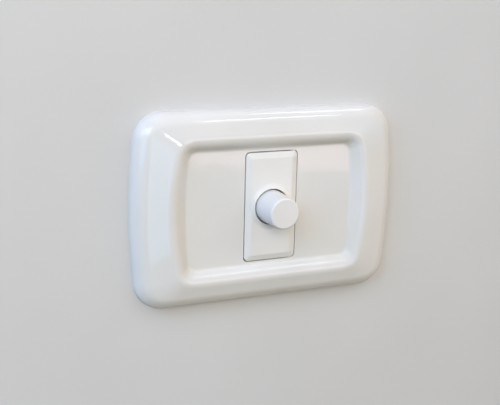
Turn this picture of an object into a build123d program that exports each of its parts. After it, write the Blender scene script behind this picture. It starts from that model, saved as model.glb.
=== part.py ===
from build123d import *
import os
from math import cos, pi, radians, sin

os.makedirs("parts", exist_ok=True)

# Wall dimmer for a rectangular three-module box: a clip-on cover plate, a mounting frame,
# and one dimmer module with a tall rotary knob that is turned to dim and pressed to switch.
# X runs along the plate, Z is up and the front faces -Y. The wall is the plane Y = 0, and the
# origin is on the knob's axis. Lengths are millimetres. A height is measured out of the wall
# towards the room, and a depth is measured into the wall.

# Room between pieces that don't touch, how far one form runs into another that it joins,
# and the small bevel of turned and moulded edges
CLEARANCE = 0.3
JOIN = 0.2
EDGE_BEVEL = 0.4

# Cover plate: three outlines, one above the other, give the band, the ridge and the recess
PLATE_HALF_WIDTH = 58.2
PLATE_HALF_HEIGHT = 39.8
PLATE_END_BOW = 2.9
PLATE_CORNER = 11.7
PLATE_WALL = 2.2
HOLLOW_SHOULDER_HEIGHT = 4.4
HOLLOW_SHOULDER_INSET = 3.0
HOLLOW_TOP_WALL = 2.6
TRAY_WALL = 0.8
RIB_THICKNESS = 1.0
RIB_LENGTH = 14.0
END_RIB_LENGTH = 22.0
RIB_PITCH_X = 28.0
RIB_Z = 33.0
END_RIB_X = 48.0
END_RIB_PITCH_Z = 26.0
SHOULDER_HEIGHT = 6.2
SHOULDER_DRAFT = 0.35
SHOULDER_ROUND = 7.0
RIDGE_HALF_WIDTH = 42.8
RIDGE_HALF_HEIGHT = 27.6
RIDGE_END_BOW = 4.4
RIDGE_CORNER = 4.5
RIDGE_HEIGHT = 9.6
RIDGE_ROUND = 5.0
FLOOR_HALF_WIDTH = 36.8
FLOOR_HALF_HEIGHT = 24.3
FLOOR_END_BOW = 1.35
FLOOR_CORNER = 4.0
FLOOR_HEIGHT = 6.0
FLOOR_FOOT_ROUND = 1.6
FLOOR_THICKNESS = 2.0
OPENING_WIDTH = 23.4
OPENING_HEIGHT = 45.8
OPENING_CORNER = 2.0
CLIP_X = 26.0
CLIP_Z = 28.5
CLIP_WIDTH = 4.0
CLIP_THICKNESS = 1.6
CLIP_TIP_HEIGHT = 0.4
CLIP_BARB = 0.6
CLIP_BARB_RISE = 0.7
CLIP_HOOK_HEIGHT = 1.1
CLIP_ROOT_HEIGHT = 7.6

# Mounting frame for three modules
FRAME_WIDTH = 106.0
FRAME_HEIGHT = 70.0
FRAME_CORNER = 8.0
FRAME_THICKNESS = 2.2
FRAME_RIM_HEIGHT = 2.8
FRAME_RIM_WIDTH = 1.6
FRAME_COLLAR_HEIGHT = 3.6
FRAME_FLANGE_DEPTH = 5.0
FRAME_WALL = 1.6
MODULE_PITCH = 22.5
WINDOW_WIDTH = 3 * MODULE_PITCH + 0.5
WINDOW_HEIGHT = 45.4
BOX_SCREW_SPACING = 83.5
SCREW_SLOT_LENGTH = 9.0
SCREW_SLOT_WIDTH = 4.2
CLIP_SLOT_Z = 28.9
CLIP_SLOT_WIDTH = 4.8
CLIP_SLOT_HEIGHT = 3.6
SPARE_HOLE_PITCH_Z = 44.0
SPARE_HOLE_WIDTH = 10.0
SPARE_HOLE_HEIGHT = 6.0
NOTCH_GAP = 0.4
NOTCH_DEPTH = 0.9
BARB_SLOT_HEIGHT = 1.9
BARB_SLOT_BACK = 2.9
SCREW_HEAD_RADIUS = 3.3
SCREW_HEAD_HEIGHT = 1.8
SCREW_THREAD_RADIUS = 1.75
SCREW_HEAD_TOP_RADIUS = 2.3
SCREW_HEAD_EDGE_DEPTH = 0.8
SCREW_NECK_RADIUS = 1.35
SCREW_ROOT_RADIUS = 1.5
SCREW_TIP_RADIUS = 0.6
SCREW_TIP_LENGTH = 1.0
SCREW_CROSS_LENGTH = 4.4
SCREW_CROSS_WIDTH = 0.9
SCREW_CROSS_DEPTH = 1.1
SCREW_LENGTH = 22.0

# Dimmer module
FACE_WIDTH = 22.5
FACE_HEIGHT = 44.9
FACE_CORNER = 1.8
FACE_EDGE_HEIGHT = 6.1
FACE_FLAT_HEIGHT = 7.0
FACE_BEVEL = 2.4
FACE_EDGE_ROUND = 0.8
SKIRT_WALL = 1.3
SKIRT_DEPTH = 4.0
COLLAR_FOOT_RADIUS = 9.6
COLLAR_TOP_RADIUS = 7.8
COLLAR_HEIGHT = 7.7
COLLAR_SWEEP_RADIUS = 8.6
COLLAR_SWEEP_HEIGHT = 7.25
KNOB_HOLE_RADIUS = 7.5
KNOB_HOLE_BEVEL = 0.15
GUIDE_HEIGHT = 3.0
GUIDE_WALL = 1.2
LEDGE_WIDTH = 11.6
LEDGE_HEIGHT = 2.6
LEDGE_REACH = 0.9
LEDGE_GAP = 0.1
TONGUE_WIDTH = 7.0
TONGUE_SLIT = 0.8
BARB_DEPTH = 1.2
BARB_LENGTH = 1.4
BARB_REACH = 0.9
BARB_ROOT = 0.5
PRESS_RIB_PITCH_X = 14.0
PRESS_RIB_PITCH_Z = 26.0
PRESS_RIB_WIDTH = 1.2
PRESS_RIB_END_REACH = 1.3
PRESS_RIB_SIDE_REACH = 0.7
PRESS_RIB_ROOT = 0.3
HOUSING_WIDTH = 22.3
HOUSING_HEIGHT = 44.5
HOUSING_WALL = 1.3
HOUSING_BACK = 34.0
HOUSING_BACK_WALL = 1.5
HOUSING_BACK_BEVEL = 0.8
HOUSING_LIP = 0.2
SPIGOT_DEPTH = 1.2
SPIGOT_GAP = 0.1
SNAP_LENGTH = 5.6
SNAP_FRONT = 1.8
SNAP_BACK = 3.0
SNAP_REACH = 0.8
SNAP_ROOT = 0.3
SNAP_WINDOW_GAP = 0.2
POST_WIDTH = 1.2
POST_HEIGHT = 1.8
POST_ROOT = 0.1
DRIVER_HOLE_RADIUS = 1.95
WIRE_ENTRY_RADIUS = 1.9
COOLING_SLOT_DEPTH = 11.5
COOLING_SLOT_PITCH = 3.2
COOLING_SLOT_WIDTH = 1.4
COOLING_SLOT_LENGTH = 10.0

# Knob and the way it moves
KNOB_FRONT_HEIGHT = 20.0
KNOB_FRONT_RADIUS = 6.33
KNOB_COLLAR_RADIUS = 6.9
KNOB_BACK_HEIGHT = 4.8
KNOB_RIM_ROUND = 0.8
KNOB_WALL = 1.4
KNOB_TOP = 1.8
KNOB_SLEEVE_RADIUS = 4.4
KNOB_SLEEVE_HEIGHT = 6.0
KNOB_WEB_HEIGHT = 9.0
KNOB_WEB_RADIUS = 4.9
KNOB_WEB_LENGTH = 2.2
KNOB_WEB_THICKNESS = 0.9
SLEEVE_SLIT_WIDTH = 0.8
SLEEVE_SLIT_LENGTH = 9.6
SLEEVE_SLIT_DEPTH = 2.6
PUSH_TRAVEL = 1.2

# Rotary control, by depth behind the wall plane
SHAFT_RADIUS = 3.0
SHAFT_FLAT = 1.6
SHAFT_FRONT_HEIGHT = 17.3
SHAFT_FLAT_HEIGHT = 5.0
SHAFT_FLAT_DEPTH = 3.0
SHAFT_BACK = 9.0
SHAFT_NOSE = 0.6
SHAFT_NOSE_RADIUS = 1.5
RUNNING_GAP = 0.05
BUSHING_RADIUS = 4.5
BUSHING_FRONT_HEIGHT = 3.4
NIB_Z = -6.3
NIB_RADIUS = 0.9
NIB_LENGTH = 1.2
WASHER_THICKNESS = 0.5
WASHER_RADIUS = 6.6
WASHER_NOTCHES = 6
WASHER_NOTCH_WIDTH = 1.6
WASHER_NOTCH_DEPTH = 0.7
NUT_THICKNESS = 2.0
NUT_ACROSS_FLATS = 11.5
SINK_FRONT = -0.3
SINK_THICKNESS = 1.5
SINK_WIDTH = 19.4
SINK_HEIGHT = 41.8
SINK_FLANGE_WIDTH = 15.0
SINK_FLANGE_END = 15.0
SINK_FLANGE_Z = 19.5
SINK_BEND = 0.5
SINK_NOTCH_DEPTH = 0.8
SINK_NOTCH_HEIGHT = 4.0
LEAD_PITCH = 2.54
TRIAC_BODY_FRONT = 7.9
TRIAC_BODY_BACK = 17.0
TRIAC_WIDTH = 10.2
TRIAC_THICKNESS = 4.5
TRIAC_TAB_FRONT = 1.6
TRIAC_TAB_THICKNESS = 1.3
TRIAC_HOLE_RADIUS = 1.9
TRIAC_LEAD_DROP = 2.6
TRIAC_SCREW_DEPTH = 4.3
TRIAC_SCREW_RADIUS = 1.5
TRIAC_SCREW_HEAD = 1.8
TRIAC_SCREW_BEVEL = 0.5
SLOTTED_HEAD_RADIUS = 2.6
DRIVER_SLOT_LENGTH = 5.4
DRIVER_SLOT_WIDTH = 0.8
DRIVER_SLOT_DEPTH = 1.0
CONTROL_FLANGE = 1.4
CONTROL_FLANGE_SIZE = 15.0
TRACK_THICKNESS = 1.0
CONTROL_RADIUS = 8.0
CONTROL_CASE_WALL = 0.5
CONTROL_BACK = 8.0
CONTROL_BACK_WALL = 0.6
TRACK_GAP = 0.1
SHAFT_HOLE_GAP = 0.3
TRACK_HOLE_GAP = 0.6
STOP_INNER_RADIUS = 6.7
TAB_HALF_WIDTH = 6.5
TAB_END = 10.0
TAB_LENGTH = 4.0
TAB_WINDOW_GAP = 0.2
TAB_WINDOW_LENGTH = 8.0
PIN_PITCH = 5.0
PIN_Z = -9.15
PIN_WIDTH = 0.9
PIN_THICKNESS = 0.5
PIN_HEAD_WIDTH = 1.7
PIN_HEAD_HEIGHT = 1.1
PIN_HEAD_THICKNESS = 0.3
ROTOR_FRONT = 4.5
ROTOR_RADIUS = 6.4
ROTOR_THICKNESS = 1.2
ROTOR_HUB_RADIUS = 4.3
ROTOR_HUB_BACK = 7.1
STOP_LUG_HALF_ANGLE = 20.0
STOP_LUG_ROOT = 0.6
STOP_LUG_GAP = 0.3
STOP_HALF_ANGLE = 22.0
CONTACT_THICKNESS = 0.25
CONTACT_OUTER_RADIUS = 5.9
CONTACT_INNER_RADIUS = 4.6
FINGER_HALF_ANGLE = 14.0
FINGER_GAP = 0.12
SWITCH_SIZE = 11.4
SWITCH_WALL = 0.9
SWITCH_BACK = 16.0
PLUNGER_SIZE = 8.6
PLUNGER_GAP = 0.1
PLUNGER_THICKNESS = 1.7
PLUNGER_STEM_RADIUS = 1.7
PLUNGER_STEM_LENGTH = 2.2
BRIDGE_THICKNESS = 0.3
BRIDGE_HEIGHT = 1.8
BRIDGE_OVERHANG = 0.5
BRIDGE_SEAT = 0.6
CONTACT_GAP = 0.2
SPRING_RADIUS = 2.5
SPRING_WIRE_RADIUS = 0.2
SPRING_TURNS = 3.5
SWITCH_PIN_X = 4.1
SWITCH_PIN_WIDTH = 0.8
SWITCH_PIN_HEIGHT = 1.2

# Circuit board and what it carries
BOARD_FRONT = 18.5
BOARD_THICKNESS = 1.6
BOARD_WIDTH = 19.4
BOARD_HEIGHT = 41.6
LEAD_RADIUS = 0.3
LEAD_TRIM = 0.5
SUPPRESSION_X = -6.0
SUPPRESSION_LEAD_Z = 7.5
SUPPRESSION_WIDTH = 5.5
SUPPRESSION_HEIGHT = 18.0
SUPPRESSION_DEPTH = 11.0
SUPPRESSION_BEVEL = 0.5
TIMING_Z = 11.4
TIMING_LEAD_X = 2.5
TIMING_WIDTH = 7.2
TIMING_HEIGHT = 3.2
TIMING_DEPTH = 7.0
AXIAL_GAP = 0.1
AXIAL_BEND = 1.0
CHOKE_Z = -15.3
CHOKE_RADIUS = 5.3
CHOKE_FRONT = 5.5
CHOKE_DRUM_RADIUS = 2.6
CHOKE_WIRE_RADIUS = 0.6
CHOKE_FLANGE = 1.5
CHOKE_SLOT_WIDTH = 1.5
CHOKE_WIRE_GAP = 0.05
CHOKE_END_GAP = 0.3
CHOKE_TURNS = 5.5
CHOKE_LEAD_RADIUS = 4.6
CHORDS_PER_TURN = 14
TERMINAL_SIZE = 7.0
TERMINAL_DEPTH = 9.0
TERMINAL_Z = 17.1
TERMINAL_X = 5.2
WIRE_HOLE_RADIUS = 1.7
TERMINAL_SCREW_RADIUS = 1.6
TERMINAL_WALL = 1.0
TERMINAL_HEAD_THICKNESS = 2.0
TERMINAL_SCREW_GAP = 0.1
LEG_X = 2.2
LEG_WIDTH = 0.8
LEG_HEIGHT = 1.6
TERMINAL_SPOTS = ((-TERMINAL_X, -TERMINAL_Z), (TERMINAL_X, -TERMINAL_Z), (0, TERMINAL_Z))
FUSE_X = 6.0
FUSE_RADIUS = 2.5
FUSE_LENGTH = 20.0
FUSE_CAP_LENGTH = 5.0
FUSE_CLIP_Z = 7.5
FUSE_GLASS = 0.5
FUSE_WIRE_RADIUS = 0.15
FUSE_CAP_WALL = 0.4
FUSE_CLIP_WALL = 0.4
FUSE_CLIP_LENGTH = 4.0
FUSE_CLIP_FOOT = 2.4
FUSE_CLIP_MOUTH = 4.2
FUSE_CLIP_MOUTH_DEPTH = 3.0
FUSE_CLIP_MOUTH_LENGTH = 4.0
FUSE_LEG_WIDTH = 1.6
FUSE_LEG_HEIGHT = 0.8

# Sizes that follow from the ones above
SINK_BACK = SINK_FRONT + SINK_THICKNESS
TRACK_FRONT = SINK_BACK + CONTROL_FLANGE
TRACK_BACK = TRACK_FRONT + TRACK_THICKNESS
BOARD_BACK = BOARD_FRONT + BOARD_THICKNESS
PLUNGER_FRONT = SHAFT_BACK + SHAFT_NOSE + PLUNGER_GAP
BRIDGE_FRONT = PLUNGER_FRONT + PLUNGER_THICKNESS
BRIDGE_BACK = BRIDGE_FRONT + BRIDGE_THICKNESS
SPRING_END = SWITCH_BACK - SWITCH_WALL
TRIAC_Z = SINK_FLANGE_Z - SINK_THICKNESS
TRIAC_LEAD_Z = TRIAC_Z - TRIAC_LEAD_DROP
FUSE_CAP_RADIUS = FUSE_RADIUS + 0.1
FUSE_DEPTH = BOARD_BACK + 4.0
TERMINAL_BACK = BOARD_BACK + TERMINAL_DEPTH
SKIRT_INNER_WIDTH = FACE_WIDTH - 2 * SKIRT_WALL
SKIRT_INNER_HEIGHT = FACE_HEIGHT - 2 * SKIRT_WALL
TERMINAL_MIDDLE = BOARD_BACK + 4.0


def level(height):
    """Plane parallel to the wall at a height above it. Extrusions from it go into the room."""
    return Plane(origin=(0, -height, 0), x_dir=(1, 0, 0), z_dir=(0, -1, 0))


def depth(distance):
    """Plane parallel to the wall at a depth behind it. Extrusions from it go into the room."""
    return level(-distance)


def bowed_outline(half_width, half_height, bow, corner):
    """Rounded rectangle whose two ends bulge outwards by the bow."""
    end = half_width - bow
    with BuildSketch() as outline:
        with BuildLine():
            Line((-end, half_height), (end, half_height))
            ThreePointArc((end, half_height), (half_width, 0), (end, -half_height))
            Line((end, -half_height), (-end, -half_height))
            ThreePointArc((-end, -half_height), (-half_width, 0), (-end, half_height))
        make_face()
        fillet(outline.vertices(), corner)
    return outline.sketch


def d_section(radius, flat):
    """Round section with a flat on its upper side, at a distance from the centre."""
    with BuildSketch() as section:
        Circle(radius)
        with Locations((0, flat + radius)):
            Rectangle(2 * radius, 2 * radius, mode=Mode.SUBTRACT)
    return section.sketch


def sector(inner, outer, middle_angle, half_angle):
    """Piece of a flat ring, centred on an angle from +X."""
    start = middle_angle - half_angle

    def at(radius, angle):
        return radius * cos(radians(angle)), radius * sin(radians(angle))

    with BuildSketch() as piece:
        with BuildLine():
            CenterArc((0, 0), outer, start, 2 * half_angle)
            CenterArc((0, 0), inner, start, 2 * half_angle)
            Line(at(inner, start), at(outer, start))
            end = start + 2 * half_angle
            Line(at(inner, end), at(outer, end))
        make_face()
    return piece.sketch


def coil_line(radius, start, end, turns, centre_z=0.0):
    """Helix along Y, made of short straight chords so that a hidden coil stays light."""
    steps = round(turns * CHORDS_PER_TURN)
    points = []
    for step in range(steps + 1):
        angle = 2 * pi * step / CHORDS_PER_TURN
        along = start + (end - start) * step / steps
        points.append((radius * sin(angle), along, centre_z + radius * cos(angle)))
    with BuildLine() as coil:
        Polyline(*points)
    return coil.line


def save(piece, name):
    """Labels one finished piece and writes it to its own file."""
    piece.part.label = name
    export_step(piece.part, f"parts/{name}.step")


# Cover plate: hollow under the band and the ridge
with BuildPart() as plate_hollow:
    for height, inset in ((0, PLATE_WALL), (HOLLOW_SHOULDER_HEIGHT, HOLLOW_SHOULDER_INSET)):
        with BuildSketch(level(height)):
            add(
                bowed_outline(
                    PLATE_HALF_WIDTH - inset,
                    PLATE_HALF_HEIGHT - inset,
                    PLATE_END_BOW,
                    PLATE_CORNER - PLATE_WALL,
                )
            )
    with BuildSketch(level(RIDGE_HEIGHT - HOLLOW_TOP_WALL)):
        add(bowed_outline(RIDGE_HALF_WIDTH, RIDGE_HALF_HEIGHT, RIDGE_END_BOW, RIDGE_CORNER))
    loft(ruled=True)
    # The recess hangs into the hollow as a tray
    with BuildSketch(level(FLOOR_HEIGHT - FLOOR_THICKNESS)):
        tray_width = FLOOR_HALF_WIDTH + TRAY_WALL
        tray_height = FLOOR_HALF_HEIGHT + TRAY_WALL
        add(bowed_outline(tray_width, tray_height, FLOOR_END_BOW, FLOOR_CORNER))
    with BuildSketch(level(RIDGE_HEIGHT - HOLLOW_TOP_WALL + JOIN)):
        tray_width = RIDGE_HALF_WIDTH + TRAY_WALL
        tray_height = RIDGE_HALF_HEIGHT + TRAY_WALL
        add(bowed_outline(tray_width, tray_height, RIDGE_END_BOW, RIDGE_CORNER))
    loft(ruled=True, mode=Mode.SUBTRACT)
    # Stiffening ribs cross the hollow and stop just above the frame
    with BuildSketch(level(FRAME_RIM_HEIGHT + CLEARANCE)):
        with GridLocations(RIB_PITCH_X, 2 * RIB_Z, 4, 2):
            Rectangle(RIB_THICKNESS, RIB_LENGTH)
        with GridLocations(2 * END_RIB_X, END_RIB_PITCH_Z, 2, 2):
            Rectangle(END_RIB_LENGTH, RIB_THICKNESS)
    extrude(amount=RIDGE_HEIGHT, mode=Mode.SUBTRACT)

with BuildPart() as cover_plate:
    with BuildSketch(level(0)):
        add(bowed_outline(PLATE_HALF_WIDTH, PLATE_HALF_HEIGHT, PLATE_END_BOW, PLATE_CORNER))
    with BuildSketch(level(SHOULDER_HEIGHT)):
        add(
            bowed_outline(
                PLATE_HALF_WIDTH - SHOULDER_DRAFT,
                PLATE_HALF_HEIGHT - SHOULDER_DRAFT,
                PLATE_END_BOW,
                PLATE_CORNER - SHOULDER_DRAFT,
            )
        )
    with BuildSketch(level(RIDGE_HEIGHT)):
        add(bowed_outline(RIDGE_HALF_WIDTH, RIDGE_HALF_HEIGHT, RIDGE_END_BOW, RIDGE_CORNER))
    loft(ruled=True)
    shoulder = cover_plate.edges().filter_by(lambda e: abs(e.center().Y + SHOULDER_HEIGHT) < 0.01)
    fillet(shoulder, SHOULDER_ROUND)
    # Dished recess, from the ridge down to the floor
    with BuildSketch(level(FLOOR_HEIGHT)):
        add(bowed_outline(FLOOR_HALF_WIDTH, FLOOR_HALF_HEIGHT, FLOOR_END_BOW, FLOOR_CORNER))
    with BuildSketch(level(RIDGE_HEIGHT)):
        add(bowed_outline(RIDGE_HALF_WIDTH, RIDGE_HALF_HEIGHT, RIDGE_END_BOW, RIDGE_CORNER))
    loft(ruled=True, mode=Mode.SUBTRACT)
    foot = cover_plate.edges().filter_by(lambda e: abs(e.center().Y + FLOOR_HEIGHT) < 0.01)
    fillet(foot, FLOOR_FOOT_ROUND)
    ridge = cover_plate.edges().filter_by(lambda e: abs(e.center().Y + RIDGE_HEIGHT) < 0.01)
    fillet(ridge, RIDGE_ROUND)
    add(plate_hollow.part, mode=Mode.SUBTRACT)
    with BuildSketch(level(0)):
        RectangleRounded(OPENING_WIDTH, OPENING_HEIGHT, OPENING_CORNER)
    extrude(amount=RIDGE_HEIGHT, mode=Mode.SUBTRACT)
    # Four snap hooks reach down into the frame's slots
    for x in (-CLIP_X, CLIP_X):
        for side in (-1, 1):
            with BuildSketch(Plane(origin=(x, 0, 0), x_dir=(0, 0, 1), z_dir=(1, 0, 0))):
                with BuildLine():
                    near = side * (CLIP_Z - CLIP_THICKNESS / 2)
                    far = side * (CLIP_Z + CLIP_THICKNESS / 2)
                    barb = far + side * CLIP_BARB
                    Polyline(
                        (near, CLIP_ROOT_HEIGHT),
                        (near, CLIP_TIP_HEIGHT),
                        (far, CLIP_TIP_HEIGHT),
                        (barb, CLIP_TIP_HEIGHT + CLIP_BARB_RISE),
                        (far, CLIP_TIP_HEIGHT + CLIP_HOOK_HEIGHT),
                        (far, CLIP_ROOT_HEIGHT),
                        close=True,
                    )
                make_face()
            extrude(amount=CLIP_WIDTH / 2, both=True)
save(cover_plate, "cover_plate")

# Mounting frame: screwed to the wall box, holds three modules and the plate's hooks
with BuildPart() as mounting_frame:
    with BuildSketch(level(0)):
        RectangleRounded(FRAME_WIDTH, FRAME_HEIGHT, FRAME_CORNER)
    extrude(amount=FRAME_THICKNESS)
    with BuildSketch(level(FRAME_THICKNESS)):
        RectangleRounded(FRAME_WIDTH, FRAME_HEIGHT, FRAME_CORNER)
        offset(amount=-FRAME_RIM_WIDTH, mode=Mode.SUBTRACT)
    extrude(amount=FRAME_RIM_HEIGHT - FRAME_THICKNESS)
    with BuildSketch(depth(FRAME_FLANGE_DEPTH)):
        RectangleRounded(WINDOW_WIDTH + 2 * FRAME_WALL, WINDOW_HEIGHT + 2 * FRAME_WALL, FRAME_WALL)
    extrude(amount=FRAME_FLANGE_DEPTH + FRAME_COLLAR_HEIGHT)
    with BuildSketch(depth(FRAME_FLANGE_DEPTH)):
        Rectangle(WINDOW_WIDTH, WINDOW_HEIGHT)
        with GridLocations(BOX_SCREW_SPACING, 0, 2, 1):
            SlotOverall(SCREW_SLOT_LENGTH, SCREW_SLOT_WIDTH, rotation=90)
        with GridLocations(2 * CLIP_X, 2 * CLIP_SLOT_Z, 2, 2):
            Rectangle(CLIP_SLOT_WIDTH, CLIP_SLOT_HEIGHT)
        with GridLocations(BOX_SCREW_SPACING, SPARE_HOLE_PITCH_Z, 2, 2):
            Rectangle(SPARE_HOLE_WIDTH, SPARE_HOLE_HEIGHT)
    extrude(amount=FRAME_FLANGE_DEPTH + FRAME_COLLAR_HEIGHT, mode=Mode.SUBTRACT)
    # Notches that stop each module going back, and slots that stop it coming forward
    bays = GridLocations(MODULE_PITCH, 0, 3, 1)
    with BuildSketch(level(LEDGE_HEIGHT)):
        with bays:
            Rectangle(LEDGE_WIDTH + NOTCH_GAP, WINDOW_HEIGHT + 2 * NOTCH_DEPTH)
    extrude(amount=FRAME_COLLAR_HEIGHT, mode=Mode.SUBTRACT)
    with BuildSketch(depth(BARB_SLOT_BACK)):
        with bays:
            Rectangle(TONGUE_WIDTH + NOTCH_GAP, WINDOW_HEIGHT + 4 * FRAME_WALL)
    extrude(amount=BARB_SLOT_HEIGHT, mode=Mode.SUBTRACT)
save(mounting_frame, "mounting_frame")

# Box screws: cross-slotted heads on the frame, threads into the wall box
for side, name in ((-1, "box_screw_left"), (1, "box_screw_right")):
    screw_x = side * BOX_SCREW_SPACING / 2
    with BuildPart() as box_screw:
        with BuildSketch(Plane(origin=(screw_x, 0, 0), x_dir=(1, 0, 0), z_dir=(0, 0, 1))):
            head_top = -FRAME_THICKNESS - SCREW_HEAD_HEIGHT
            Polygon(
                (0, head_top),
                (SCREW_HEAD_TOP_RADIUS, head_top),
                (SCREW_HEAD_RADIUS, head_top + SCREW_HEAD_EDGE_DEPTH),
                (SCREW_HEAD_RADIUS, -FRAME_THICKNESS),
                (SCREW_NECK_RADIUS, -FRAME_THICKNESS),
                (SCREW_ROOT_RADIUS, 0),
                (SCREW_THREAD_RADIUS, 0),
                (SCREW_THREAD_RADIUS, SCREW_LENGTH - SCREW_TIP_LENGTH),
                (SCREW_TIP_RADIUS, SCREW_LENGTH),
                (0, SCREW_LENGTH),
                align=None,
            )
        revolve(axis=Axis((screw_x, 0, 0), (0, 1, 0)))
        with BuildSketch(level(FRAME_THICKNESS + SCREW_HEAD_HEIGHT)):
            with Locations((screw_x, 0)):
                Rectangle(SCREW_CROSS_LENGTH, SCREW_CROSS_WIDTH)
                Rectangle(SCREW_CROSS_WIDTH, SCREW_CROSS_LENGTH)
        extrude(amount=-SCREW_CROSS_DEPTH, mode=Mode.SUBTRACT)
    save(box_screw, name)

# Module front: bevelled face with a collar round the knob, on a skirt that snaps into the frame
with BuildPart() as module_front:
    with BuildSketch(depth(SKIRT_DEPTH)):
        RectangleRounded(FACE_WIDTH, FACE_HEIGHT, FACE_CORNER)
    extrude(amount=SKIRT_DEPTH + FACE_EDGE_HEIGHT)
    with BuildSketch(level(FACE_EDGE_HEIGHT)):
        RectangleRounded(FACE_WIDTH, FACE_HEIGHT, FACE_CORNER)
    with BuildSketch(level(FACE_FLAT_HEIGHT)):
        RectangleRounded(FACE_WIDTH - 2 * FACE_BEVEL, FACE_HEIGHT - 2 * FACE_BEVEL, FACE_CORNER / 2)
    loft(ruled=True)
    fillet(module_front.faces().sort_by(Axis.Y)[0].edges(), FACE_EDGE_ROUND)
    # Soft collar, swept up from the flat face to the edge of the knob hole
    with BuildSketch(Plane.XY):
        with BuildLine():
            sweep_in = ThreePointArc(
                (COLLAR_FOOT_RADIUS, -FACE_FLAT_HEIGHT),
                (COLLAR_SWEEP_RADIUS, -COLLAR_SWEEP_HEIGHT),
                (COLLAR_TOP_RADIUS, -COLLAR_HEIGHT),
            )
            Polyline(
                sweep_in @ 1,
                (KNOB_HOLE_RADIUS - 1, -COLLAR_HEIGHT),
                (KNOB_HOLE_RADIUS - 1, -FACE_FLAT_HEIGHT + JOIN),
                (COLLAR_FOOT_RADIUS, -FACE_FLAT_HEIGHT + JOIN),
                sweep_in @ 0,
            )
        make_face()
    revolve(axis=Axis.Y)
    # Ledges for the frame's notches and barbs for its slots, at the top and the bottom
    with BuildSketch(level(LEDGE_HEIGHT)):
        with GridLocations(0, FACE_HEIGHT, 1, 2):
            Rectangle(LEDGE_WIDTH, 2 * LEDGE_REACH)
    extrude(amount=FRAME_COLLAR_HEIGHT - LEDGE_HEIGHT - LEDGE_GAP)
    with BuildSketch(Plane.YZ):
        for side in (-1, 1):
            with BuildLine():
                skin = side * FACE_HEIGHT / 2
                Polyline(
                    (BARB_DEPTH, skin - side * BARB_ROOT),
                    (BARB_DEPTH, skin + side * BARB_REACH),
                    (BARB_DEPTH + BARB_LENGTH, skin),
                    (BARB_DEPTH + BARB_LENGTH, skin - side * BARB_ROOT),
                    close=True,
                )
            make_face()
    extrude(amount=(TONGUE_WIDTH - TONGUE_SLIT) / 2, both=True)
    with BuildSketch(depth(SKIRT_DEPTH)):
        Rectangle(SKIRT_INNER_WIDTH, SKIRT_INNER_HEIGHT)
    extrude(amount=SKIRT_DEPTH + FACE_FLAT_HEIGHT - SKIRT_WALL, mode=Mode.SUBTRACT)
    # Guide round the knob, and ribs that press the heat sink plate against the housing
    ceiling = FACE_FLAT_HEIGHT - SKIRT_WALL
    with BuildSketch(level(GUIDE_HEIGHT)):
        Circle(KNOB_HOLE_RADIUS + GUIDE_WALL)
    extrude(amount=ceiling - GUIDE_HEIGHT + JOIN)
    with BuildSketch(level(-SINK_FRONT)):
        end_pitch = SKIRT_INNER_HEIGHT - PRESS_RIB_END_REACH + PRESS_RIB_ROOT
        with GridLocations(PRESS_RIB_PITCH_X, end_pitch, 2, 2):
            Rectangle(PRESS_RIB_WIDTH, PRESS_RIB_END_REACH + PRESS_RIB_ROOT)
        side_pitch = SKIRT_INNER_WIDTH - PRESS_RIB_SIDE_REACH + PRESS_RIB_ROOT
        with GridLocations(side_pitch, PRESS_RIB_PITCH_Z, 2, 2):
            Rectangle(PRESS_RIB_SIDE_REACH + PRESS_RIB_ROOT, PRESS_RIB_WIDTH)
    extrude(amount=ceiling + SINK_FRONT + JOIN)
    with BuildSketch(level(GUIDE_HEIGHT)):
        Circle(KNOB_HOLE_RADIUS)
    extrude(amount=COLLAR_HEIGHT, mode=Mode.SUBTRACT)
    mouth = module_front.edges().filter_by(GeomType.CIRCLE).sort_by(Axis.Y)[0]
    chamfer(mouth, KNOB_HOLE_BEVEL)
    # Slits free a springy tongue round each barb
    for side in (-1, 1):
        with BuildSketch(Plane.YZ.offset((side * TONGUE_WIDTH - TONGUE_SLIT) / 2)):
            Rectangle(2 * SKIRT_DEPTH, 2 * FACE_HEIGHT)
        extrude(amount=TONGUE_SLIT, mode=Mode.SUBTRACT)
    # Windows for the housing's snaps
    with BuildSketch(Plane.YZ.offset(-FACE_WIDTH)):
        with Locations(((SNAP_FRONT + SNAP_BACK) / 2, 0)):
            Rectangle(SNAP_BACK - SNAP_FRONT + 2 * SNAP_WINDOW_GAP, SNAP_LENGTH + 2 * SNAP_WINDOW_GAP)
    extrude(amount=2 * FACE_WIDTH, mode=Mode.SUBTRACT)
save(module_front, "module_front")

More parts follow.
